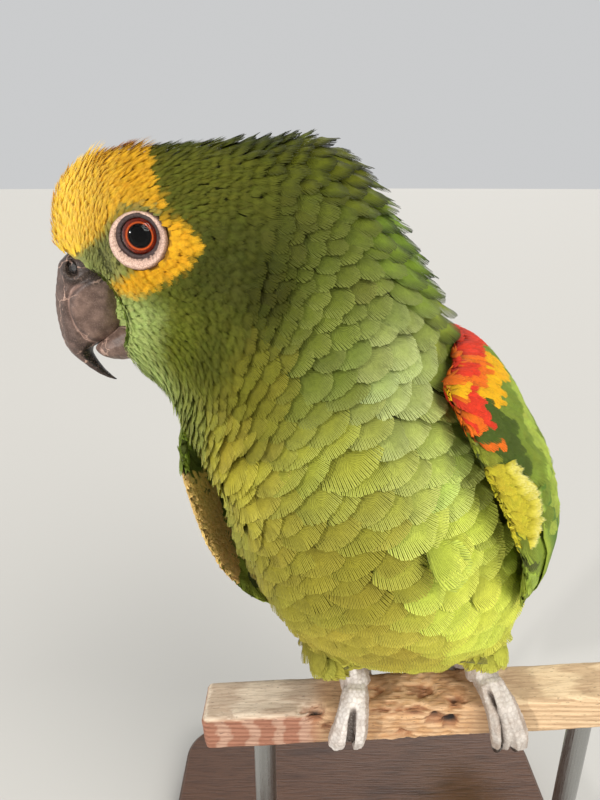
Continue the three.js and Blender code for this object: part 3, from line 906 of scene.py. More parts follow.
# Tufts that stand up on the forehead: the middle, the reach and how far their tips stand out.
TUFTS = [
    (from_eyes(-18, -4, 17), 2.8, 3.6),
    (from_eyes(-6, -3, 22.5), 3.2, 2.3),
    (from_eyes(-10, 1, 22), 3.0, 1.8),
]


def most_of(spots, root):
    """What these spots give at the root of a feather, fading from the middle of each."""
    apart = [np.linalg.norm(root - spot) / MM for spot, _, _ in spots]
    return max(much * math.exp(-(off / reach) ** 2) for off, (_, reach, much) in zip(apart, spots))


def round_the_eyes(root, way, length):
    """The feather's way and length, turned and shortened so that it leaves the bare ring free. None on
    the ring."""
    for eye in EYES.values():
        if abs(root[1] - eye[1]) > 14 * MM:
            continue
        off = (root - eye) * [1, 0, 1] + [0, 0, RING_BELOW]
        apart = np.linalg.norm(off)
        if apart < BARE_RING:
            return None
        out = off / apart
        if apart < BARE_RING + RING_NEAR:
            inward = min(0.0, float(way @ out))
            near = 1 - (apart - BARE_RING) / RING_NEAR
            way = unit(way - out * inward * (1 + 0.15 * near))
            length = min(length, max(1.2 * MM, 3.2 * MM + 0.6 * (apart - BARE_RING)))
    return way, length


def between_neighbours(width):
    """How far apart feathers of this width grow in a row: the small ones lie the closest."""
    return width * (0.44 + 0.18 * smooth_step(4, 10, width / MM))


def body_coats():
    """The body's feathers row by row, gathered for the pieces they belong to."""
    mesh = BODY_FORM.data
    ways, rows = comb_body()
    coats = {}

    def coat(name, finish):
        return coats.setdefault(name, Coat(name, BODY_SURFACE, SKIN_MAP, finish))

    for number, line, line_ways in rows_along(mesh, ways, rows):
        gaps = between_neighbours(plumage_at(line)[1])
        roots, ways_here, _ = spread_evenly(line, line_ways, gaps, number)
        row, width, depth, lift = plumage_at(roots)[:4]
        colour, rim, rim_share = plumage_at(roots + ways_here * row[:, None] * SHOWN_FROM)[4:]
        for n, root in enumerate(roots):
            up = np.array(BODY_SURFACE.find_nearest(root.tolist())[1])
            small = smooth_step(7, 4, width[n] / MM)
            ruffled = most_of(RUFFLED, root)
            way = ways_here[n] + np.cross(up, ways_here[n]) * rng.normal(0, 0.1 + 0.05 * small + ruffled)
            way = unit(way - way @ up * up)
            root = root + way * row[n] * rng.uniform(-SCATTER, SCATTER) * small
            length = row[n] * OVERLAP * rng.uniform(0.84, 1.16)
            tuft = most_of(TUFTS, root)
            length *= 1 + 0.35 * tuft
            turned = round_the_eyes(root, way, length)
            if turned is None:
                continue
            way, length = turned
            spot = np.array(BODY_SURFACE.find_nearest(root.tolist())[0])
            name, kind, finish = coat_for(width[n], root)
            shape = SHAPES[kind][rng.integers(len(SHAPES[kind]))]
            tint = 1 + rng.normal(0, 0.05) + rng.normal(0, 0.02, 3)
            half_width = width[n] / 2 * rng.uniform(0.92, 1.1)
            stands_out = lift[n] + rng.normal(0, 0.05 + 0.06 * small) * depth[n]
            stands_out += (tuft + 1.5 * ruffled * rng.random()) * MM
            coat(name, finish).lay(
                shape, spot, way, up, length, half_width, depth[n] * (0.8 - 0.35 * small), stands_out,
                colour[n] * tint, rim[n] * tint, rim_share[n], rng.normal(0, 0.06 + ruffled),
                0.5 + 0.42 * small,
            )
    return coats


def coat_for(width, root):
    """The coat piece, the kind of shape and the finish of a feather this wide."""
    high = (root - TRUNK_MIDDLE) @ UP / MM
    half = "left" if root[1] > MIDLINE else "right"
    if width < 4.2 * MM:
        return ("coat_face_" if root[0] < BETWEEN_EYES[0] else "coat_cheek_") + half, "wisp", DOWN
    if width < 7 * MM:
        return "coat_head", "small", PLUMAGE
    if width < 11 * MM:
        return ("coat_neck" if high > 0 else "coat_thighs"), "medium", PLUMAGE
    return ("coat_ruff" if high > 28 else "coat_breast" if high > -16 else "coat_belly"), "large", PLUMAGE


COATS = body_coats()
FEATHER_PIECES = {name: coat.build() for name, coat in COATS.items()}


# ---------------------------------------------------------------- wings
# How far each wing's leading edge is drawn forward over the breast's side, in millimetres, at the
# heights of HOLD_HEIGHTS.
HOLD_HEIGHTS = [-30, -8, 8, 24, 42]
HELD_FORWARD = {"left": [0, 0.8, 1.6, 4.4, 7.4], "right": [0, 0, 0, 0, 0]}
SIDES = {"left": 1, "right": -1}
RED, ORANGE, AMBER = paint(236, 62, 34), paint(246, 118, 26), paint(254, 190, 22)
DEEP_GREEN, LEAF, MOSS = paint(80, 98, 30), paint(178, 198, 78), paint(132, 152, 52)
# painted shade: the dark olive of the right wing's inner face where it goes in behind the body's side
BEHIND_BODY_SHADE = paint(84, 76, 26)  # where the wing goes in behind the body's side
# partly painted shade: the wing's inner face and its coverts are painted a darker green, as they lie in
# shade against the body
SHADED_INNER_COVERTS, SHADED_INNER_FACE = paint(92, 102, 44), paint(92, 102, 48)
LEMON, CREAM, OLIVE = paint(214, 200, 54), paint(238, 234, 160), paint(142, 148, 44)

# Colours of the outer wing, each with where its feathers grow: up and back of the middle of the breast.
WING_MARKS = [
    (RED, [(42, 18), (42.2, 10), (40.4, 4.4), (42, -0.3), (39.8, -3), (38.1, -5.6), (36.2, -11.9)]),
    (RED, [(33.5, -15), (31.2, -17.1), (29.3, -16.8), (40, 13), (38.5, 17), (40, 24), (36, 15)]),
    (ORANGE, [(41.5, -6), (39.9, -10), (38.5, -14), (36, -17.5), (33.4, -18.4), (31.6, -20.4)]),
    (ORANGE, [(29.5, -22), (34, -24), (38, 0.9), (36.2, -2.8), (36.5, -7.6), (24.5, -18.7)]),
    (AMBER, [(34.5, 3.1), (33.7, -1), (37.6, -12.8), (33.3, -8.9), (30.7, -8.4), (32, -5)]),
    (OLIVE, [(26.6, -23), (23.2, -23.2), (23, -28), (-10.5, -23.5)]),
    (OLIVE, [(-14.2, -22.3), (-12, -30), (-24, -25)]),
    (DEEP_GREEN, [(26.4, -19), (24.6, -16.6), (31.6, -13.2), (28.1, -15), (27.2, -18.4)]),
    (DEEP_GREEN, [(22.4, -19.2), (21.4, -15.6), (25, -12.6), (17.5, -16)]),
    (MOSS, [(30, -2.5), (28, -7.6), (24, -8), (19.9, -11.2), (15, -12), (8.9, -10.2), (3, -12)]),
    (MOSS, [(-3, -14.4), (-9, -18), (34, 12), (24, 12), (10, 5), (-10, 1), (-30, -1)]),
    (LEAF, [(25, 3.6), (19.7, -0.4), (13, -4), (6, -5.5), (-1, -8)]),
    (LEAF, [(-8.2, -11.6), (-14, -14), (-24, -16), (-40, -9)]),
    (MOSS, [(34, 26), (15, 20), (-10, 20), (-35, 20), (-60, 12), (-60, 30), (-100, 40)]),
]
# The pale patch of each wing, its places given in the same way.
# partly painted light: the right wing's patch is painted paler and warmer than the left's lemon, for the
# light that shines through it
PATCH_COLOURS = {"left": LEMON, "right": paint(255, 214, 128)}
PATCH_CLEAR = 3.6  # marks nearer to the patch's places than this are left out
PATCH_PLACES = {
    "left": [
        (17, -23), (13.6, -22.2), (10.6, -21), (8, -19.2), (3, -19.4), (5, -22.4), (0, -21), (-3.4, -22.6),
        (13, -26), (8, -27), (0, -28), (-5, -28), (-2.5, -26),
    ],
    "right": [
        (9, -15), (8, -21), (7, -10), (2, -11), (-1, -9.5), (-3, -14), (-6, -11), (-8, -16), (-13, -13),
        (-16, -16.4), (-21, -15), (-26, -17), (-31, -18), (-10, -20), (-20, -20), (0, -20), (-30, -22),
    ],
}


def held_forward(name, up, left, back):
    """How far the wing is drawn forward at these places of the trunk, in millimetres."""
    turn = np.degrees(np.arctan2(SIDES[name] * left, back))
    return np.interp(up, HOLD_HEIGHTS, HELD_FORWARD[name]) * smooth_step(70, 104, turn)


def wing_colours(points, name):
    """The feathers' colour at these places of the wing: that of the nearest mark."""
    patch = np.array(PATCH_PLACES[name])
    marks = [(PATCH_COLOURS[name], place) for place in PATCH_PLACES[name]]
    for colour, around in WING_MARKS:
        apart = [np.linalg.norm(patch - place, axis=1).min() for place in around]
        marks += [(colour, place) for place, clear in zip(around, apart) if clear > PATCH_CLEAR]
    where = in_trunk(points)[:, [0, 2]] + rng.normal(0, 0.4, (len(points), 2))
    nearest = np.linalg.norm(where[:, None] - np.array([m[1] for m in marks]), axis=2).argmin(1)
    return np.array([m[0] for m in marks])[nearest]


class Wing:
    """One wing's form, and places on its outer face by height up the trunk and part of the way from its
    trailing edge by the spine, 0, to its leading edge, 1."""

    def __init__(self, name):
        self.name, self.side = name, SIDES[name]
        self.patch_colour = PATCH_COLOURS[name]
        nodes = [f"wing_{name}_coverts", f"wing_{name}_flight"]
        self.core = form_of(f"wing_{name}_core", nodes, 0.8 * MM, 5)
        points = places(self.core.data)
        forward = held_forward(name, *in_trunk(points).T) * MM
        points -= (BACK * 0.86 + self.side * LEFT * 0.5) * forward[:, None]
        points -= self.side * LEFT * 0.8 * MM * smooth_step(-10, -30, in_trunk(points)[:, :1])
        points -= UP * 0.5 * np.maximum(in_trunk(points)[:, :1] - 38, 0) * MM
        set_places(self.core.data, points)
        self.surface = surface_of(self.core)
        self.unwrap = Unwrap(self.core)
        up, turn = self.bearing(points)
        self.levels = np.arange(math.ceil(up.min()) + 3, up.max() - 3, 3.0)
        near = [turn[abs(up - level) < 2.5] for level in self.levels]
        self.trail = np.array([n.min() for n in near])
        self.lead = np.array([n.max() for n in near])
        across = self.side * in_trunk(points)[:, 1]
        self.reach = np.array([across[abs(up - level) < 2.5].max() for level in self.levels])

    def bearing(self, points):
        up, left, back = in_trunk(points).T
        return up, np.degrees(np.arctan2(self.side * left, back))

    def place(self, up, part):
        trail, lead = (np.interp(up, self.levels, edge) for edge in (self.trail, self.lead))
        turn = math.radians(trail + (lead - trail) * part)
        out = LEFT * self.side * math.sin(turn) + BACK * math.cos(turn)
        axis = TRUNK_MIDDLE + UP * up * MM
        hit = self.surface.ray_cast(Vector(axis + out * 0.12), Vector(-out), 0.12)[0]
        return np.array(hit or self.surface.find_nearest(Vector(axis + out * 0.05))[0])

    def quill_path(self, from_up, to_up, from_part, to_part, steps=22):
        parts = np.linspace(from_part, to_part, steps)
        return np.array([self.place(u, p) for u, p in zip(np.linspace(from_up, to_up, steps), parts)])

    def quills(self):
        """Flight feathers on the outer face: primaries, then secondaries over them, those nearer the
        spine on top."""
        coat = Coat(f"wing_{self.name}_quills", self.surface, self.unwrap, QUILL_VANE)
        bottom = self.levels[0]
        for k in range(8):
            part = 0.96 - 0.09 * k
            shaft = self.quill_path(-2, bottom + 62 - 9 * k, part, part * 0.96)
            tint = 1 + rng.normal(0, 0.04)
            tip = paint(136, 158, 66) if k < 3 else paint(42, 46, 44)
            coat.lay_long(shaft, 6.2 * MM, (0.5 + 0.14 * k) * MM, MOSS * tint, LEAF, tip)
        for k in range(9):
            part = 0.84 - 0.09 * k
            shaft = self.quill_path(7, -64 + 3.2 * k, part, part)
            tint = 1 + rng.normal(0, 0.04)
            tip = paint(132, 154, 62) if k < 3 else paint(70, 92, 52)
            coat.lay_long(shaft, 7.6 * MM, (1.5 + 0.14 * k) * MM, paint(92, 122, 44) * tint, LEAF, tip)
        return thickened(coat.build(), 0.22 * MM)

    def outside(self, spot, facing):
        """Over 0 on the outer face, the leading edge and the trailing edge."""
        up, across, back = in_trunk(spot).T
        return (facing @ LEFT) * across + (facing @ BACK) * back * 1.6 + (facing @ UP) * 40 * (up > 0)

    def painted_shade_behind_body(self, spots):
        """How much painted shade the right wing takes where it goes in behind the body's side: 1 there, 0
        everywhere else.
        """
        up, across, back = in_trunk(spots).T
        inward = np.interp(up, self.levels, self.reach) - self.side * across
        shade_behind_body = smooth_step(14, 23, inward) * smooth_step(-4, -9, back)
        return (shade_behind_body * (self.name == "right"))[:, None]

    def coverts(self):
        """Short feathers in rows from the bend, over both faces, and the fine close ones of the pale
        patch."""
        coat = Coat(f"wing_{self.name}_covert_feathers", self.surface, self.unwrap, PLUMAGE)
        mesh = self.core.data
        facing = normals(mesh)
        down = BACK * 0.25 - UP + LEFT * self.side * 0.8
        ways = unit(down - facing * (facing @ down)[:, None])
        for heights, rows, for_patch in ((COVERT_HEIGHTS, COVERT_ROWS, False), ([0, 1], PATCH_ROWS, True)):
            spacing = np.interp(in_trunk(places(mesh))[:, 0], heights, rows) * MM
            for number, line, line_ways in rows_along(mesh, ways, row_count(mesh, ways, spacing)):
                gaps = np.interp(in_trunk(line)[:, 0], heights, rows) * MM
                close = gaps * (0.6 if for_patch else 0.8)
                roots, ways_here, here = spread_evenly(line, line_ways, close, number)
                colours = wing_colours(roots + ways_here * gaps[here][:, None], self.name)
                on_patch = abs(colours - self.patch_colour).max(1) < 0.01
                shade_behind_body = self.painted_shade_behind_body(roots)
                colours = colours * (1 - shade_behind_body) + BEHIND_BODY_SHADE * shade_behind_body
                for n in np.flatnonzero(on_patch == for_patch):
                    self.lay_covert(coat, roots[n], ways_here[n], colours[n], gaps[here[n]], for_patch)
        return coat

    def lay_covert(self, coat, root, way, colour, row, on_patch):
        spot, up = (np.array(v) for v in self.surface.find_nearest((root - way * row * 0.9).tolist())[:2])
        outside = self.outside(spot, up) > -12
        height, _, back = in_trunk(root)
        if outside and height < -4 and not on_patch:
            return
        way = way + np.cross(up, way) * rng.normal(0, 0.08 + 0.1 * on_patch)
        way = unit(way - way @ up * up)
        leading = height < -10 and back < -4
        # painted shade: the inner coverts take the darker green of the shaded inner face
        if not outside and not on_patch and height < 26 and not leading:
            colour = SHADED_INNER_COVERTS
        kind = "small" if row < 4 * MM else "medium" if row < 6 * MM else "large"
        shape = SHAPES[kind][rng.integers(len(SHAPES[kind]))]
        tint = 1 + rng.normal(0, 0.06) + rng.normal(0, 0.03, 3)
        over = 1.2 if on_patch else 1.1 + 1.2 * outside * smooth_step(22, 12, height)
        coat.lay(
            shape, spot, way, up, row * 2.5, row * 0.85, -0.35 * MM, over * MM, colour * tint,
            colour * 1.25 + 0.02, 0.45, rng.normal(0, 0.05),
        )


COVERT_HEIGHTS = [-60, 0, 22, 45]  # up from the middle of the breast
COVERT_ROWS = [9.5, 4.8, 2.5, 2.0]  # and the distance between rows there
PATCH_ROWS = [1.7, 1.7]  # the distance between the pale patch's rows, the same at all heights


def thickened(piece, thickness):
    """Gives a piece's sheets a thickness, downwards."""
    finish_with(piece, "SOLIDIFY", thickness=thickness, offset=-1)
    return piece


def fringe(wing):
    """The frayed pale border of the yellow patch at the leading edge, which stands out over the green."""
    coat = Coat("wing_fringe_feathers", wing.surface, wing.unwrap, DOWN)
    border = [
        (19, -22.6), (17, -21.8), (14, -20.8), (11, -19), (7.4, -17.2), (1, -17.8), (-3.6, -20.8),
        (-6, -22.8),
    ]
    along = np.linspace(0, len(border) - 1, 60)
    for up, back in np.stack([np.interp(along, range(len(border)), c) for c in zip(*border)], 1):
        length = np.interp(up, [-6, 0, 10, 19], [3.4, 5.4, 5.0, 2.2])
        up, back = up + 1.2 + rng.normal(0, 0.5), back - 0.74 * length + rng.normal(0, 0.6)
        guess = on_trunk(up, 46, back)
        spot, facing = wing.surface.find_nearest(guess.tolist())[:2]
        facing = np.array(facing)
        way = BACK - UP * (0.2 + 0.4 * rng.random())
        way = unit(way - way @ facing * facing)
        shape = SHAPES["wisp"][rng.integers(4)]
        coat.lay(
            shape, np.array(spot), way, facing, length * MM, 1.4 * MM, -0.8 * MM, 2.2 * MM,
            LEMON, CREAM, 1.0, rng.normal(0, 0.2),
        )
    return coat.build()


def core_finish():
    """The surface of a wing or the tail under its feathers, with the lines of the quills' barbs."""
    material, tree, shader = new_finish("inner wing", roughness=0.7)
    place = object_place(tree, (1, 1, 14))
    streaks = speckle(tree, place, 1.4, 3)
    dark = ramped(tree, streaks, 0.35, 0.65, 0, 0.45)
    colour_with(tree, shader, mixed(tree, dark, painted(tree), (0.02, 0.022, 0.014)))
    rough_up(tree, shader, streaks, 0.15)
    return material


INNER_WING = core_finish()
WINGS = {name: Wing(name) for name in SIDES}
for name, wing in WINGS.items():
    here = places(wing.core.data)
    outer_colours = wing_colours(here, name)
    up, _, back = in_trunk(here).T
    # painted shade on the wing's own surface: the inner face takes the shaded inner green, and under the
    # outer feathers their colours are darkened to 0.8
    bright = smooth_step(-20, -6, wing.outside(here, normals(wing.core.data)))
    bright = np.maximum(bright, smooth_step(-15, -20, back))
    bright = np.maximum(bright, smooth_step(-10, -16, up) * smooth_step(-2, -6, back))
    bright = np.maximum(bright, abs(outer_colours - wing.patch_colour).max(1) < 0.01)[:, None]
    shade_behind_body = wing.painted_shade_behind_body(here)
    outer_colours = outer_colours * 0.8 * (1 - shade_behind_body) + BEHIND_BODY_SHADE * shade_behind_body
    paint_points(wing.core.data, SHADED_INNER_FACE * (1 - bright) + outer_colours * bright)
    wing.core.data.materials.append(INNER_WING)
    smooth_shaded(wing.core)
WING_PIECES = {name: [wing.core, wing.quills(), wing.coverts().build()] for name, wing in WINGS.items()}
WING_PIECES["left"].append(fringe(WINGS["left"]))


# ---------------------------------------------------------------- tail
def tail_pieces():
    """Twelve tail feathers on each face of the tail, the middle pair on top."""
    core = form_of("tail_core", ["tail"], 0.9 * MM, 4)
    paint_points(core.data, np.tile(paint(70, 82, 50), (len(core.data.vertices), 1)))
    core.data.materials.append(INNER_WING)
    surface = surface_of(core)
    unwrap = Unwrap(core)
    up, left, _ = in_trunk(places(core.data)).T
    levels = np.arange(math.ceil(up.min()) + 2, up.max() - 6, 4.0)
    low = np.array([left[abs(up - level) < 3].min() for level in levels])
    high = np.array([left[abs(up - level) < 3].max() for level in levels])
    coat = Coat("tail_quills", surface, unwrap, QUILL_VANE)
    for out in (1, -1):
        for k in range(12):
            order = k // 2  # 0 is the outermost pair, which lies lowest
            part = (order + 0.55) / 13 if k % 2 else 1 - (order + 0.55) / 13
            ends_at = levels[0] + 1 + (5 - order) * (2.4 if order < 5 else 1.0)
            shaft = []
            for height in np.linspace(levels[-1], ends_at, 22):
                where = np.interp(height, levels, low) * (1 - part) + np.interp(height, levels, high) * part
                start = on_trunk(height, where, 38 + out * 40)
                hit = surface.ray_cast(Vector(start), Vector(-out * BACK), 0.08)[0]
                shaft.append(np.array(hit or surface.find_nearest(Vector(on_trunk(height, where, 38)))[0]))
            green = paint(86, 120, 42) if out > 0 else paint(140, 150, 62)
            tint = 1 + rng.normal(0, 0.04)
            above = (0.1 + 0.16 * order) * MM
            coat.lay_long(np.array(shaft), 5.4 * MM, above, green * tint, LEAF, paint(190, 198, 76), 0.8)
    return [core, thickened(coat.build(), 0.2 * MM)]


TAIL_PIECES = tail_pieces()


# ---------------------------------------------------------------- bill
HORN_GREY = paint(132, 107, 96)
# Places on the bill are in millimetres behind and above the point between the eyes.
NOSTRIL = (-23.6, -9.0)
# The swellings round the nostril: the middle, the half lengths and how far they rise.
SWELLINGS = [((-18.5, -13.5), (4.2, 3.4), 0.5), ((-22.8, -9.2), (4.6, 4.2), 0.9)]
LOBE = ((-16.0, -21.5), (8.2, 9.6))  # the smooth swelling at the bill's root, its middle and half lengths


def bill_piece(name):
    piece = copies_of(name + "_horn", [name])
    finish_with(piece, "REMESH", mode="VOXEL", voxel_size=0.36 * MM)
    finish_with(piece, "SMOOTH", factor=0.5, iterations=8)
    mesh = piece.data
    points = places(mesh)
    x, y, z = ((points - BETWEEN_EYES) / MM).T
    if name == "bill_upper":
        colours, worn = upper_bill(mesh, points, x, y, z)
    else:
        grey = np.tile(HORN_GREY, (len(points), 1))
        colours, worn = shaded(grey, paint(146, 120, 104), smooth_step(-12, -6, x)), 1.0
    ridges = np.sin((z + 0.35 * x + 0.8 * np.sin(x * 0.9)) * 2.6)
    points += normals(mesh) * (ridges * 0.035 * MM)[:, None]
    set_places(mesh, points)
    paint_points(mesh, colours, worn)
    mesh.materials.append(HORN)
    return smooth_shaded(piece)


def upper_bill(mesh, points, x, y, z):
    """Moves the upper bill's points to its swellings, lobe and nostrils. Gives its colours and where it
    is worn."""
    side = np.sign(y) * smooth_step(2.0, 6.0, abs(y))
    for (cx, cz), (wide, tall), rise in SWELLINGS:
        reach = np.hypot((x - cx) / wide, (z - cz) / tall)
        points[:, 1] += side * smooth_step(1.25, 0.5, reach) * rise * MM
    reach = np.hypot((x - LOBE[0][0]) / LOBE[1][0], (z - LOBE[0][1]) / LOBE[1][1])
    reach += 0.03 * np.sin(4 * np.arctan2(z - LOBE[0][1], x - LOBE[0][0]))
    hollow = smooth_step(-25, -17, x) * smooth_step(-32, -29, z) * smooth_step(-8, -14, z)
    points[:, 0] += 4.4 * MM * hollow
    step = smooth_step(1.2, 1.02, reach)
    step = step - 0.45 * smooth_step(1.32, 1.22, reach) * smooth_step(1.1, 1.2, reach)
    points[:, 1] += side * step * 1.1 * MM
    pit = np.hypot(x - NOSTRIL[0], (z - NOSTRIL[1]) * 0.8)
    points[:, 1] -= side * smooth_step(2.3, 0.9, pit) * 2.6 * MM
    edge_line = smooth_step(0.07, 0.02, abs(reach - 1.17)) * smooth_step(-17, -19, x)
    gape = smooth_step(0.1, 0.03, abs(reach - 1.07)) * smooth_step(-17, -13, x + 0.5 * (z + 21))
    colours = np.tile(HORN_GREY, (len(points), 1))
    for colour, share in (
        (paint(108, 88, 80), smooth_step(0.95, 1.1, reach)),
        (paint(196, 160, 144), 0.7 * edge_line),
        (paint(34, 27, 24), 0.85 * gape),
        (paint(66, 54, 48), smooth_step(6.4, 4.6, np.hypot(x + 22.0, z + 8.0))),  # the cere
        (paint(66, 50, 43), smooth_step(-34, -42, z)),  # the tip
        # painted shade inside the hook, on the face that turns back under it
        (paint(16, 12, 12), smooth_step(0.1, 0.6, normals(mesh)[:, 0]) * smooth_step(-29, -33, z)),
        # painted shade in the hollow of the nostril
        (paint(6, 5, 5), smooth_step(2.0, 1.4, pit) * (abs(side) > 0.3)),
    ):
        colours = shaded(colours, colour, share)
    return colours, 1 - smooth_step(1.1, 0.9, reach)


def horn_finish():
    """Dull grey horn with growth lines, scuffs and thin pale cracks."""
    material, tree, shader = new_finish("horn", roughness=0.42)
    shader.inputs["Specular IOR Level"].default_value = 0.35
    own = add_node(tree, "Attribute", attribute_name="plumage")
    worn, own = own.outputs["Alpha"], own.outputs["Color"]
    place = object_place(tree)
    wander = add_node(tree, "TexNoise", {"Vector": place, "Scale": 0.22, "Detail": 3.0}).outputs["Color"]
    bent = add_node(tree, "VectorMath", {0: wander, 1: (6, 6, 6), 2: place}, operation="MULTIPLY_ADD")
    cells = {"Vector": bent.outputs[0], "Scale": 0.12, "Randomness": 1.0}
    edge = add_node(tree, "TexVoronoi", cells, feature="DISTANCE_TO_EDGE").outputs["Distance"]
    crack = ramped(tree, edge, 0.006, 0.03, 1, 0)
    patchy = ramped(tree, speckle(tree, place, 0.22, 2), 0.42, 0.55)
    crack = times(tree, times(tree, crack, patchy), worn)
    cloud = ramped(tree, speckle(tree, place, 0.35, 5, 0.6), 0.35, 0.68)
    ground = mixed(tree, cloud, mixed(tree, 1.0, own, (0.52, 0.5, 0.5), "MULTIPLY"), own)
    fine = ramped(tree, speckle(tree, place, 3.0, 3), 0.5, 0.75, 0, 0.35)
    ground = mixed(tree, fine, ground, paint(176, 150, 136))
    colour_with(tree, shader, mixed(tree, times(tree, crack, 0.75), ground, paint(214, 178, 160)))
    relief = sums(tree, "MULTIPLY_ADD", cloud, 0.6, crack)
    rough_up(tree, shader, relief, 0.16, 0.9)
    return material


HORN = horn_finish()
BILL = {name: bill_piece(name) for name in ("bill_upper", "bill_lower")}


# ---------------------------------------------------------------- eyes
BALL, IRIS, PUPIL, CORNEA_RADIUS = 6.0, 4.85, 2.95, 6.3  # radii in millimetres
EYE_RINGS = [
    (0.0, 3.0, paint(2, 2, 2)), (1.6, 3.0, paint(2, 2, 2)), (2.9, 3.05, paint(3, 2, 2)),
    (PUPIL, 3.15, paint(14, 6, 4)), (3.08, 3.4, paint(140, 50, 18)), (3.26, 3.46, paint(214, 96, 36)),
    (3.5, 3.5, paint(176, 66, 26)), (3.7, 3.52, paint(84, 26, 14)), (4.0, 3.56, paint(138, 44, 24)),
    (4.3, 3.6, paint(150, 46, 26)), (4.6, 3.64, paint(92, 28, 20)), (IRIS, 3.66, paint(34, 14, 12)),
    (5.1, 3.1, paint(20, 12, 11)), (5.6, 2.0, paint(26, 18, 17)), (BALL, 0.0, paint(40, 32, 30)),
    (5.2, -3.0, paint(40, 32, 30)),
]


def round_the_axis(side, radius, turn, out):
    """From an eye's middle to a place this far from the axis that runs out through it, and out along it."""
    return np.array([radius * math.cos(turn), side * out, radius * math.sin(turn)]) * MM


def spun(name, centre, side, rings, steps=72):
    """A surface of rings round the axis that runs out through an eye, given as (radius, out)."""
    work = bmesh.new()
    turns = np.linspace(0, 2 * math.pi, steps, endpoint=False)
    rows = []
    for radius, out in rings:
        around = turns[: 1 if radius == 0 else steps]
        rows.append([work.verts.new(centre + round_the_axis(side, radius, t, out)) for t in around])
    join_rings(work, rows)
    bmesh.ops.recalc_face_normals(work, faces=work.faces)
    return smooth_shaded(object_from(name, work))


def iris_finish():
    """The eye's painted rings with fine streaks across the iris."""
    material, tree, shader = new_finish("iris", roughness=0.5)
    shader.inputs["Specular IOR Level"].default_value = 0.02
    streaks = ramped(tree, speckle(tree, object_place(tree), 3.2, 4, 0.7), 0.35, 0.65, 0, 0.45)
    colour_with(tree, shader, mixed(tree, streaks, painted(tree), (0.35, 0.3, 0.3), "MULTIPLY"))
    return material


def cornea_finish():
    """Clear wet glass: only its reflections show."""
    material = bpy.data.materials.new("cornea")
    material.use_nodes = True
    tree = material.node_tree
    tree.nodes.remove(tree.nodes["Principled BSDF"])
    out = tree.nodes["Material Output"]
    clear = add_node(tree, "BsdfTransparent").outputs[0]
    gloss = add_node(tree, "BsdfGlossy", {"Roughness": 0.03}).outputs[0]
    fresnel = add_node(tree, "Fresnel", {"IOR": 1.2}).outputs[0]
    glass = add_node(tree, "MixShader", {0: fresnel, 1: clear, 2: gloss})
    tree.links.new(glass.outputs[0], out.inputs["Surface"])
    return material


OUTWARD = {name: float(np.sign(place[1] - MIDLINE)) for name, place in EYES.items()}


def eye_pieces(name):
    centre, side = EYES[name], OUTWARD[name]
    ball = spun(f"eye_{name}_ball", centre, side, [(r, out) for r, out, _ in EYE_RINGS])
    off = places(ball.data) - centre
    radius, out = np.hypot(off[:, 0], off[:, 2]) / MM, off[:, 1] * side / MM
    radii, outs, ring_colours = (np.array(column) for column in zip(*EYE_RINGS))
    ring = (abs(radius[:, None] - radii) + abs(out[:, None] - outs)).argmin(1)
    paint_points(ball.data, ring_colours[ring])
    ball.data.materials.append(EYE_PAINT)
    dome = [(r, math.sqrt(CORNEA_RADIUS**2 - r**2)) for r in np.linspace(0, 5.6, 12)]
    inside = [(r, o - 0.25) for r, o in reversed(dome)]
    cornea = spun(f"eye_{name}_cornea", centre, side, dome + inside)
    cornea.data.materials.append(CORNEA)
    return [ball, cornea]


# The eyelids in section, from their inner edge outwards: distance from the eye's axis, and height over
# the eyeball or over the head's own surface, both in millimetres.
LID_SECTION = [
    (5.0, -1.4), (4.9, -0.5), (4.86, 0.05), (4.94, 0.28), (5.1, 0.38), (5.3, 0.36), (5.5, 0.28),
    (5.65, 0.2), (5.8, 0.28), (6.0, 0.42), (6.2, 0.5), (6.42, 0.46), (6.62, 0.28), (6.8, 0.0),
    (7.0, -0.7), (7.2, -1.8),
]
LID_STEPS = 108  # points round each ring of the section


def head_round_eye(name, turns):
    """How far out of the eye's middle the head's surface lies in these directions, evened out."""
    centre, side = EYES[name], OUTWARD[name]
    rim = []
    for turn in turns:
        start = centre + round_the_axis(side, 8.5, turn, 30)
        hit = BODY_SURFACE.ray_cast(Vector(start), Vector((0, -side, 0)))[0]
        rim.append((hit[1] - centre[1]) * side / MM)
    rim = np.convolve(np.tile(rim, 3), np.ones(9) / 9, "same")[LID_STEPS : 2 * LID_STEPS]
    return rim.mean() + 0.65 * (rim - rim.mean())


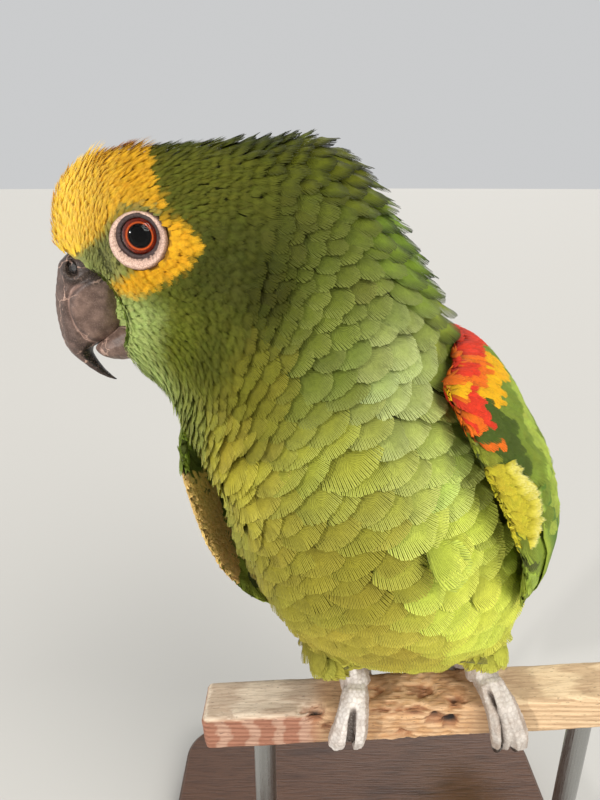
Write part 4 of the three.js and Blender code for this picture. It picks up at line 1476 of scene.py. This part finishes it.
def lids_piece(name):
    """Dark inner margin, furrow and pale bare ring, as one fold of skin round the eye."""
    centre, side = EYES[name], OUTWARD[name]
    turns = np.linspace(0, 2 * math.pi, LID_STEPS, endpoint=False)
    rim = head_round_eye(name, turns)
    work = bmesh.new()
    rows, colours = [], []
    for radius, rise in LID_SECTION:
        rows.append([])
        for k, turn in enumerate(turns):
            up, behind = math.sin(turn), math.cos(turn)
            wider = 0.03 - 0.15 * up - 0.03 * behind - 0.06 * up**2
            wide = 1 + wider * smooth_step(5.2, 6.6, radius)
            r = radius * wide * (1 + 0.012 * noise.noise((5 * behind, 5 * up, radius)))
            over_ball = math.sqrt(max(CORNEA_RADIUS**2 - min(r, 6.2) ** 2, 0.5))
            out = over_ball + (rim[k] + 0.35 - over_ball) * smooth_step(4.6, 7.4, r) + rise
            grain = noise.noise((centre[0] + 2.4 * r * behind, 2.4 * r * up, side * 3.1))
            out += 0.13 * grain * smooth_step(4.8, 5.1, r)
            rows[-1].append(work.verts.new(centre + round_the_axis(side, r, turn, out)))
            bristles = noise.noise((15 * behind, 15 * up, side * 7.7))
            dark = smooth_step(5.95, 5.65, radius + 0.45 * grain + 0.5 * bristles)
            pale = paint(226, 192, 172) * (1 + 0.1 * grain)
            own = pale + (paint(66, 48, 46) * (1 + 0.3 * grain) - pale) * dark
            colours.append(own + (paint(120, 92, 70) - own) * smooth_step(6.6, 7.0, radius) * 0.6)
    join_rings(work, rows)
    bmesh.ops.recalc_face_normals(work, faces=work.faces)
    piece = object_from(f"eyelids_{name}", work)
    paint_points(piece.data, np.array(colours))
    piece.data.materials.append(LID_SKIN)
    finish_with(piece, "SUBSURF", levels=1)
    inside_out = piece.data.polygons[0].normal.y * side < 0
    finish_with(piece, "SOLIDIFY", thickness=0.4 * MM, offset=-side if inside_out else -1)
    return smooth_shaded(piece)


def lid_finish():
    """Fine-grained bare skin."""
    material, tree, shader = new_finish("eyelid skin", roughness=0.55)
    cells = {"Vector": object_place(tree), "Scale": 2.3, "Randomness": 0.9}
    grain = add_node(tree, "TexVoronoi", cells, feature="F1").outputs["Distance"]
    gap = ramped(tree, grain, 0.35, 0.75, 0, 0.55)
    colour_with(tree, shader, mixed(tree, gap, painted(tree), (0.4, 0.3, 0.28), "MULTIPLY"))
    rough_up(tree, shader, sums(tree, "SUBTRACT", 1.0, grain), 0.18)
    return material


EYE_PAINT, CORNEA, LID_SKIN = iris_finish(), cornea_finish(), lid_finish()
EYE_PIECES = {name: eye_pieces(name) for name in EYES}
LIDS = [lids_piece(name) for name in EYES]


# ---------------------------------------------------------------- feet and claws
# painted shade: the left foot is painted darker than the right, though both feet are the same pale grey
SCALE_COLOURS_LEFT_SHADED = {"left": paint(204, 195, 185), "right": paint(222, 214, 206)}
CLEFTS = {  # the furrow between the front toes: its heights, and where along the perch it is there
    "left": [(122, 38.8), (134, 36.2), (141, 33.0)],
    "right": [(122, -14.0), (132, -13.3), (136, -12.2)],
}


def foot_piece(name):
    """Plump toes covered with small raised scales in rows from the shank to the claws."""
    foot = form_of(f"foot_{name}_scales", [f"foot_{name}"], 0.4 * MM, 6)
    mesh = foot.data
    points = places(mesh)
    height = points[:, 2]
    start, end = height > height.max() - 2 * MM, height < height.min() + 3 * MM
    ways = unit(slopes(mesh, steady_flow(mesh, start | end, end.astype(float))))
    rows = row_count(mesh, ways, np.full(len(points), 1.6 * MM))
    seeds = []
    for number, line, line_ways in rows_along(mesh, ways, rows):
        seeds.extend(spread_evenly(line, line_ways, np.full(len(line), 1.8 * MM), number)[0])
    seeds = np.array(seeds) + rng.normal(0, 0.3 * MM, (len(seeds), 3))
    tree = KDTree(len(seeds))
    for n, seed in enumerate(seeds):
        tree.insert(seed, n)
    tree.balance()
    near = [tree.find_n(p, 2) for p in points.tolist()]
    first = np.array([n[0][1] for n in near])
    gap = np.array([n[1][2] - n[0][2] for n in near]) / MM
    plump = smooth_step(0.0, 0.7, gap)  # 0 between two scales
    x, y, z = points.T / MM
    heights, along = zip(*CLEFTS[name])
    off = abs(x - np.interp(z, heights, along))
    ahead = smooth_step(-17, -21, y) * smooth_step(heights[-1] + 1, heights[-1] - 2.5, z)
    between = smooth_step(1.7, 0.2, off) * ahead
    facing = normals(mesh)
    set_places(mesh, points + facing * ((plump - 0.6) * 0.16 * MM - 3.0 * MM * between)[:, None])
    tint = rng.normal(1, 0.07, len(seeds))[first][:, None]
    colours = SCALE_COLOURS_LEFT_SHADED[name] * tint
    colours = shaded(colours, paint(160, 146, 136), 0.4 * (1 - plump))
    # partly painted shade: the toes' sides, which face across, are painted browner, broken up in patches by
    # noise
    brown_patches_and_side_shade = np.array([noise.noise(p) for p in (points / MM * 0.22).tolist()])
    brown_patches_and_side_shade = smooth_step(0.25, 0.85, abs(facing[:, 0]) + 0.5 * brown_patches_and_side_shade)
    colours = shaded(colours, paint(150, 126, 106), brown_patches_and_side_shade * 0.55)
    # painted shade in the cleft between the front toes
    paint_points(mesh, shaded(colours, paint(84, 68, 58), smooth_step(0.2, 0.8, between) * 0.85))
    mesh.materials.append(SCALED_SKIN)
    return smooth_shaded(foot)


def scaled_skin_finish():
    """Dry pale scales, dusty between them."""
    material, tree, shader = new_finish("foot skin", roughness=0.62)
    place = object_place(tree)
    grain = speckle(tree, place, 2.2, 4)
    worn = ramped(tree, speckle(tree, place, 0.25, 3), 0.4, 0.7, 0, 0.5)
    colour = mixed(tree, worn, painted(tree), (0.62, 0.56, 0.52), "MULTIPLY")
    dry = ramped(tree, grain, 0.5, 0.8, 0, 0.4)
    colour_with(tree, shader, mixed(tree, dry, colour, (0.9, 0.88, 0.85)))
    rough_up(tree, shader, grain, 0.12)
    return material


def toe_tips(name):
    """The lowest place of each toe, and which way is in under the perch from it."""
    points = places(frame["nodes"][f"foot_{name}"].data)
    low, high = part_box("perch")
    for beside, inward in ((points[points[:, 1] < low[1]], 1), (points[points[:, 1] > high[1]], -1)):
        toe_ends = beside[beside[:, 2] < beside[:, 2].min() + 8 * MM]
        order = toe_ends[np.argsort(toe_ends[:, 0])]
        split = np.argmax(np.diff(order[:, 0])) + 1
        for toe in (order[:split], order[split:]):
            yield toe[toe[:, 2].argmin()], inward


def claw_piece(name, number, tip, inward):
    """A short dark claw that curves in under the perch."""
    across = Vector((1, 0, 0))
    turns = np.linspace(0, 2 * math.pi, 14, endpoint=False)
    work = bmesh.new()
    rings = []
    for t in np.linspace(0, 1, 12):
        bend = 1.5 * t
        in_under = inward * (6.5 * (1 - math.cos(bend)) - 0.6)
        centre = Vector(tip + np.array([0, in_under, 4.2 - 7.5 * math.sin(bend)]) * MM)
        along = Vector((0, inward * math.sin(bend), -math.cos(bend)))
        over = along.cross(across)
        radius = 1.75 * MM * (1 - t) ** 0.62 + 0.05 * MM
        spokes = [across * math.cos(a) * 0.8 + over * math.sin(a) for a in turns]
        rings.append([work.verts.new(centre + spoke * radius) for spoke in spokes])
    join_rings(work, rings)
    work.faces.new(rings[0])
    work.faces.new(rings[-1])
    bmesh.ops.recalc_face_normals(work, faces=work.faces)
    claw = object_from(f"claw_{name}_{number}", work)
    claw.data.materials.append(CLAW_HORN)
    return smooth_shaded(claw)


def claw_finish():
    material, tree, shader = new_finish("claw horn", roughness=0.33)
    grain = speckle(tree, object_place(tree, (1, 1, 4)), 1.6, 3)
    streaks = ramped(tree, grain, 0.35, 0.7)
    colour_with(tree, shader, mixed(tree, streaks, paint(38, 34, 33), paint(84, 76, 70)))
    rough_up(tree, shader, grain, 0.06)
    return material


SCALED_SKIN, CLAW_HORN = scaled_skin_finish(), claw_finish()
FOOT_PIECES = {name: foot_piece(name) for name in SIDES}
CLAWS = [
    claw_piece(name, n, tip, inward) for name in SIDES for n, (tip, inward) in enumerate(toe_tips(name), 1)
]


# ---------------------------------------------------------------- perch
# Bites out of the timber, in millimetres: x, y and height of the middle, half lengths along x and
# across, and depth.
BITES = [
    (-25.5, -23, 128.5, 3.4, 4.0, 3.2), (-21, -24, 123.5, 2.6, 2.4, 1.8),
    (-29.5, -22, 129.8, 3.0, 3.2, 1.6), (0, -23.5, 131, 7.0, 3.2, 1.7),
    (9, -24, 130.5, 4.5, 3.0, 2.2), (16, -24, 127, 4.0, 3.4, 2.4),
    (21.5, -24.5, 125.8, 3.2, 3.0, 3.4), (24, -21, 132.8, 3.8, 3.4, 1.8), (13, -16, 132.2, 6.0, 4.0, 1.2),
    (-4, -15, 131, 5.0, 3.5, 0.9), (5, -24, 120.5, 5.5, 2.2, 1.2), (-58, -22, 127.2, 3.5, 3.0, 0.8),
    (62, -24, 135.5, 4.0, 2.4, 0.9), (84, -22, 137.5, 3.0, 3.0, 0.8),
]


def perch_piece():
    """The squared timber, gnawed between the feet and pale where it is freshly broken."""
    perch = copies_of("perch_timber", ["perch"])
    finish_with(perch, "REMESH", mode="VOXEL", voxel_size=0.8 * MM)
    finish_with(perch, "SMOOTH", factor=0.5, iterations=3)
    mesh = perch.data
    points = places(mesh)
    up = normals(mesh)
    x, y, z = points.T / MM
    depth = np.zeros(len(points))
    for bx, by, bz, long, wide, deep in BITES:
        apart = np.sqrt(((x - bx) / long) ** 2 + ((y - by) / wide) ** 2 + ((z - bz) / wide) ** 2)
        depth = np.maximum(depth, deep * smooth_step(1.35, 0.25, apart))
    chewed = smooth_step(-12, -4, x) * smooth_step(33, 25, x)
    rough = np.array([noise.noise((a * 0.35, b * 0.9, c * 0.9)) for a, b, c in zip(x, y, z)])
    wave = np.array([noise.noise((a * 0.05, b * 0.25, c * 0.25 + 9)) for a, b, c in zip(x, y, z)])
    depth = depth * (0.8 + 0.5 * rough) + (rough + 0.3) * (0.12 + 0.5 * chewed) + 0.35 * wave
    set_places(mesh, points - up * (depth * MM)[:, None])
    top = smooth_step(0.5, 0.8, up[:, 2])
    right_end = smooth_step(-20, -30, x)
    bands = smooth_step(0.1, 0.5, np.sin(x * 0.62 + 2 * wave))
    colours = np.tile(paint(216, 178, 136), (len(points), 1))
    for colour, share in (
        (paint(168, 116, 92), right_end * (1 - top)),
        (paint(224, 196, 172), right_end * (1 - top) * bands * 0.4),
        (paint(222, 206, 184), right_end * top * 0.9),
        (paint(204, 156, 106), chewed * smooth_step(-0.3, 0.4, rough) * 0.75),
        (paint(232, 206, 166), smooth_step(32, 40, x) * (0.5 + 0.4 * top)),
        # painted shade in the bites: browner, then near black, the deeper the bite
        (paint(150, 92, 56), smooth_step(0.5, 1.3, depth) * 0.7),
        (paint(36, 24, 18), smooth_step(1.5, 2.7, depth)),
    ):
        colours = shaded(colours, colour, share)
    paint_points(mesh, colours)
    mesh.materials.append(TIMBER)
    pick(perch)
    bpy.ops.object.shade_smooth_by_angle(angle=math.radians(50))
    return perch


def wood_finish(name, dark, contrast, roughness, own=None):
    """Wood with its grain along X: long fibres, growth rings and pores. Its colour is own, or else each
    point's."""
    material, tree, shader = new_finish(name, roughness=roughness)
    colour = painted(tree) if own is None else own
    place = object_place(tree, (14, 1, 1))
    fibres = speckle(tree, place, 1.1, 5, 0.65)
    rings = {"Vector": object_place(tree, (9, 1.3, 1)), "Scale": 0.16, "Distortion": 4.0, "Detail": 3.0}
    bands = add_node(tree, "TexWave", rings, bands_direction="Z").outputs["Fac"]
    pores = ramped(tree, speckle(tree, object_place(tree, (5, 1, 1)), 2.6, 2), 0.62, 0.72, 0, contrast)
    toned = mixed(tree, ramped(tree, bands, 0.3, 0.9, 0, contrast), colour, dark, "MULTIPLY")
    toned = mixed(tree, ramped(tree, fibres, 0.42, 0.66, 0, contrast), toned, dark, "MULTIPLY")
    colour_with(tree, shader, mixed(tree, pores, toned, (0.03, 0.02, 0.015)))
    rough_up(tree, shader, fibres, 0.25)
    return material


TIMBER = wood_finish("gnawed timber", (0.5, 0.4, 0.34), 0.5, 0.78)
PERCH = perch_piece()


# ---------------------------------------------------------------- stand
def steel_finish():
    material, tree, shader = new_finish("brushed steel", paint(168, 168, 166), metallic=1.0, roughness=0.32)
    scratches = speckle(tree, object_place(tree, (1, 1, 30)), 6.0, 3)
    tree.links.new(ramped(tree, scratches, 0.3, 0.7, 0.24, 0.42), shader.inputs["Roughness"])
    rough_up(tree, shader, scratches, 0.02)
    return material


STEEL = steel_finish()
STAINED = wood_finish("stained wood", (0.4, 0.34, 0.3), 0.6, 0.38, paint(92, 62, 44))
for node, finish in (("stand_base", STAINED), ("stand_rod_left", STEEL), ("stand_rod_right", STEEL)):
    frame["nodes"][node].data.materials.clear()
    frame["nodes"][node].data.materials.append(finish)


def collar_piece(name, place, radius, height):
    """A small turned collar round a rod."""
    bpy.ops.mesh.primitive_cylinder_add(vertices=48, radius=radius, depth=height, location=(0, 0, 0))
    collar = bpy.context.object
    collar.name = collar.data.name = name
    finish_with(collar, "BEVEL", width=0.8 * MM, segments=3, limit_method="ANGLE")
    set_places(collar.data, places(collar.data) + place)
    collar.data.materials.append(STEEL)
    bpy.ops.object.shade_smooth_by_angle(angle=math.radians(40))
    return collar


COLLARS = []
for side in SIDES:
    low, high = (np.array(corner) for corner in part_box(f"stand_rod_{side}"))
    foot = np.array([*(low + high)[:2] / 2, low[2]])
    COLLARS.append(collar_piece(f"stand_collar_{side}", foot + [0, 0, 1.7 * MM], 8 * MM, 4 * MM))
    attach(COLLARS[-1], "root")

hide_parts("bill_upper")
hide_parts("bill_lower")
for name in SIDES:
    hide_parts(f"eye_{name}")
    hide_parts(f"foot_{name}")
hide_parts("perch")
OTHER_PIECES = {
    "bill_horn": list(BILL.values()),
    "eye": [p for pair in EYE_PIECES.values() for p in pair],
    "foot_skin": [*FOOT_PIECES.values(), *CLAWS, *LIDS],
    "perch_wood": [PERCH],
    "stand_steel": COLLARS,
}
HEAD_PIECES = (
    "coat_face_left", "coat_face_right", "coat_cheek_left", "coat_cheek_right", "coat_head", "coat_neck",
)


# ---------------------------------------------------------------- stage, camera and light
def aim(direction):
    return Vector(direction).to_track_quat("-Z", "Y").to_euler()


def put_light(name, kind, place, power, colour, **shape):
    light = bpy.data.lights.new(name, kind)
    light.energy, light.color = power, colour
    for key, value in shape.items():
        setattr(light, key, value)
    lamp = bpy.data.objects.new(name, light)
    lamp.location = place
    lamp.rotation_euler = aim(Vector((-0.01, -0.01, 0.2)) - Vector(place))
    bpy.context.scene.collection.objects.link(lamp)


def stage():
    bpy.ops.mesh.primitive_circle_add(vertices=96, radius=30, fill_type="NGON", location=(0, 0, 0))
    floor = bpy.context.object
    floor.name = "studio_floor"
    floor.data.materials.append(new_finish("studio floor", paint(196, 194, 189), roughness=0.85)[0])
    world = bpy.data.worlds.new("studio")
    world.use_nodes = True
    world.node_tree.nodes["Background"].inputs[0].default_value = (0.93, 0.94, 0.95, 1)
    world.node_tree.nodes["Background"].inputs[1].default_value = 0.64
    bpy.context.scene.world = world
    put_light("key", "SUN", (0.55, -0.75, 1.0), 2.3, (1.0, 0.97, 0.92), angle=math.radians(40))
    put_light("fill", "SUN", (-0.65, -0.64, 0.42), 1.6, (1.0, 0.98, 0.96), angle=math.radians(3))
    put_light("rim", "SUN", (0.2, 0.9, 0.8), 0.7, (1.0, 0.98, 0.95), angle=math.radians(30))
    bpy.context.scene.view_settings.view_transform = "Standard"


def camera():
    lens = bpy.data.cameras.new("camera")
    lens.lens, lens.sensor_width, lens.sensor_fit = 27, 36, "AUTO"
    lens.clip_start = 0.01
    eye = bpy.data.objects.new("camera", lens)
    eye.location = CAMERA_PLACE
    eye.rotation_euler = (math.radians(90 - LOOK_DOWN), 0, 0)
    bpy.context.scene.collection.objects.link(eye)
    bpy.context.scene.camera = eye


CAMERA_PLACE = from_eyes(39.1, -174.3, 13.2)
LOOK_DOWN = 20
stage()
camera()


# ---------------------------------------------------------------- joining it to the model
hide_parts("head", "neck", "breast", "belly", "thigh_left", "thigh_right")
for name, parts in WING_PIECES.items():
    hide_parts(f"wing_{name}_coverts", f"wing_{name}_flight")
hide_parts("tail")
BY_SLOT = {
    "body_feathers": [SKIN, *(p for n, p in FEATHER_PIECES.items() if n not in HEAD_PIECES)],
    "head_feathers": [p for n, p in FEATHER_PIECES.items() if n in HEAD_PIECES],
    "wing_feathers": [p for parts in WING_PIECES.values() for p in parts],
    "tail_feathers": TAIL_PIECES,
    **OTHER_PIECES,
}
for slot, pieces in BY_SLOT.items():
    for piece in pieces:
        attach(piece, "root")
for form in [o for o in bpy.data.objects if o.name.endswith("_form")]:
    bpy.data.objects.remove(form)
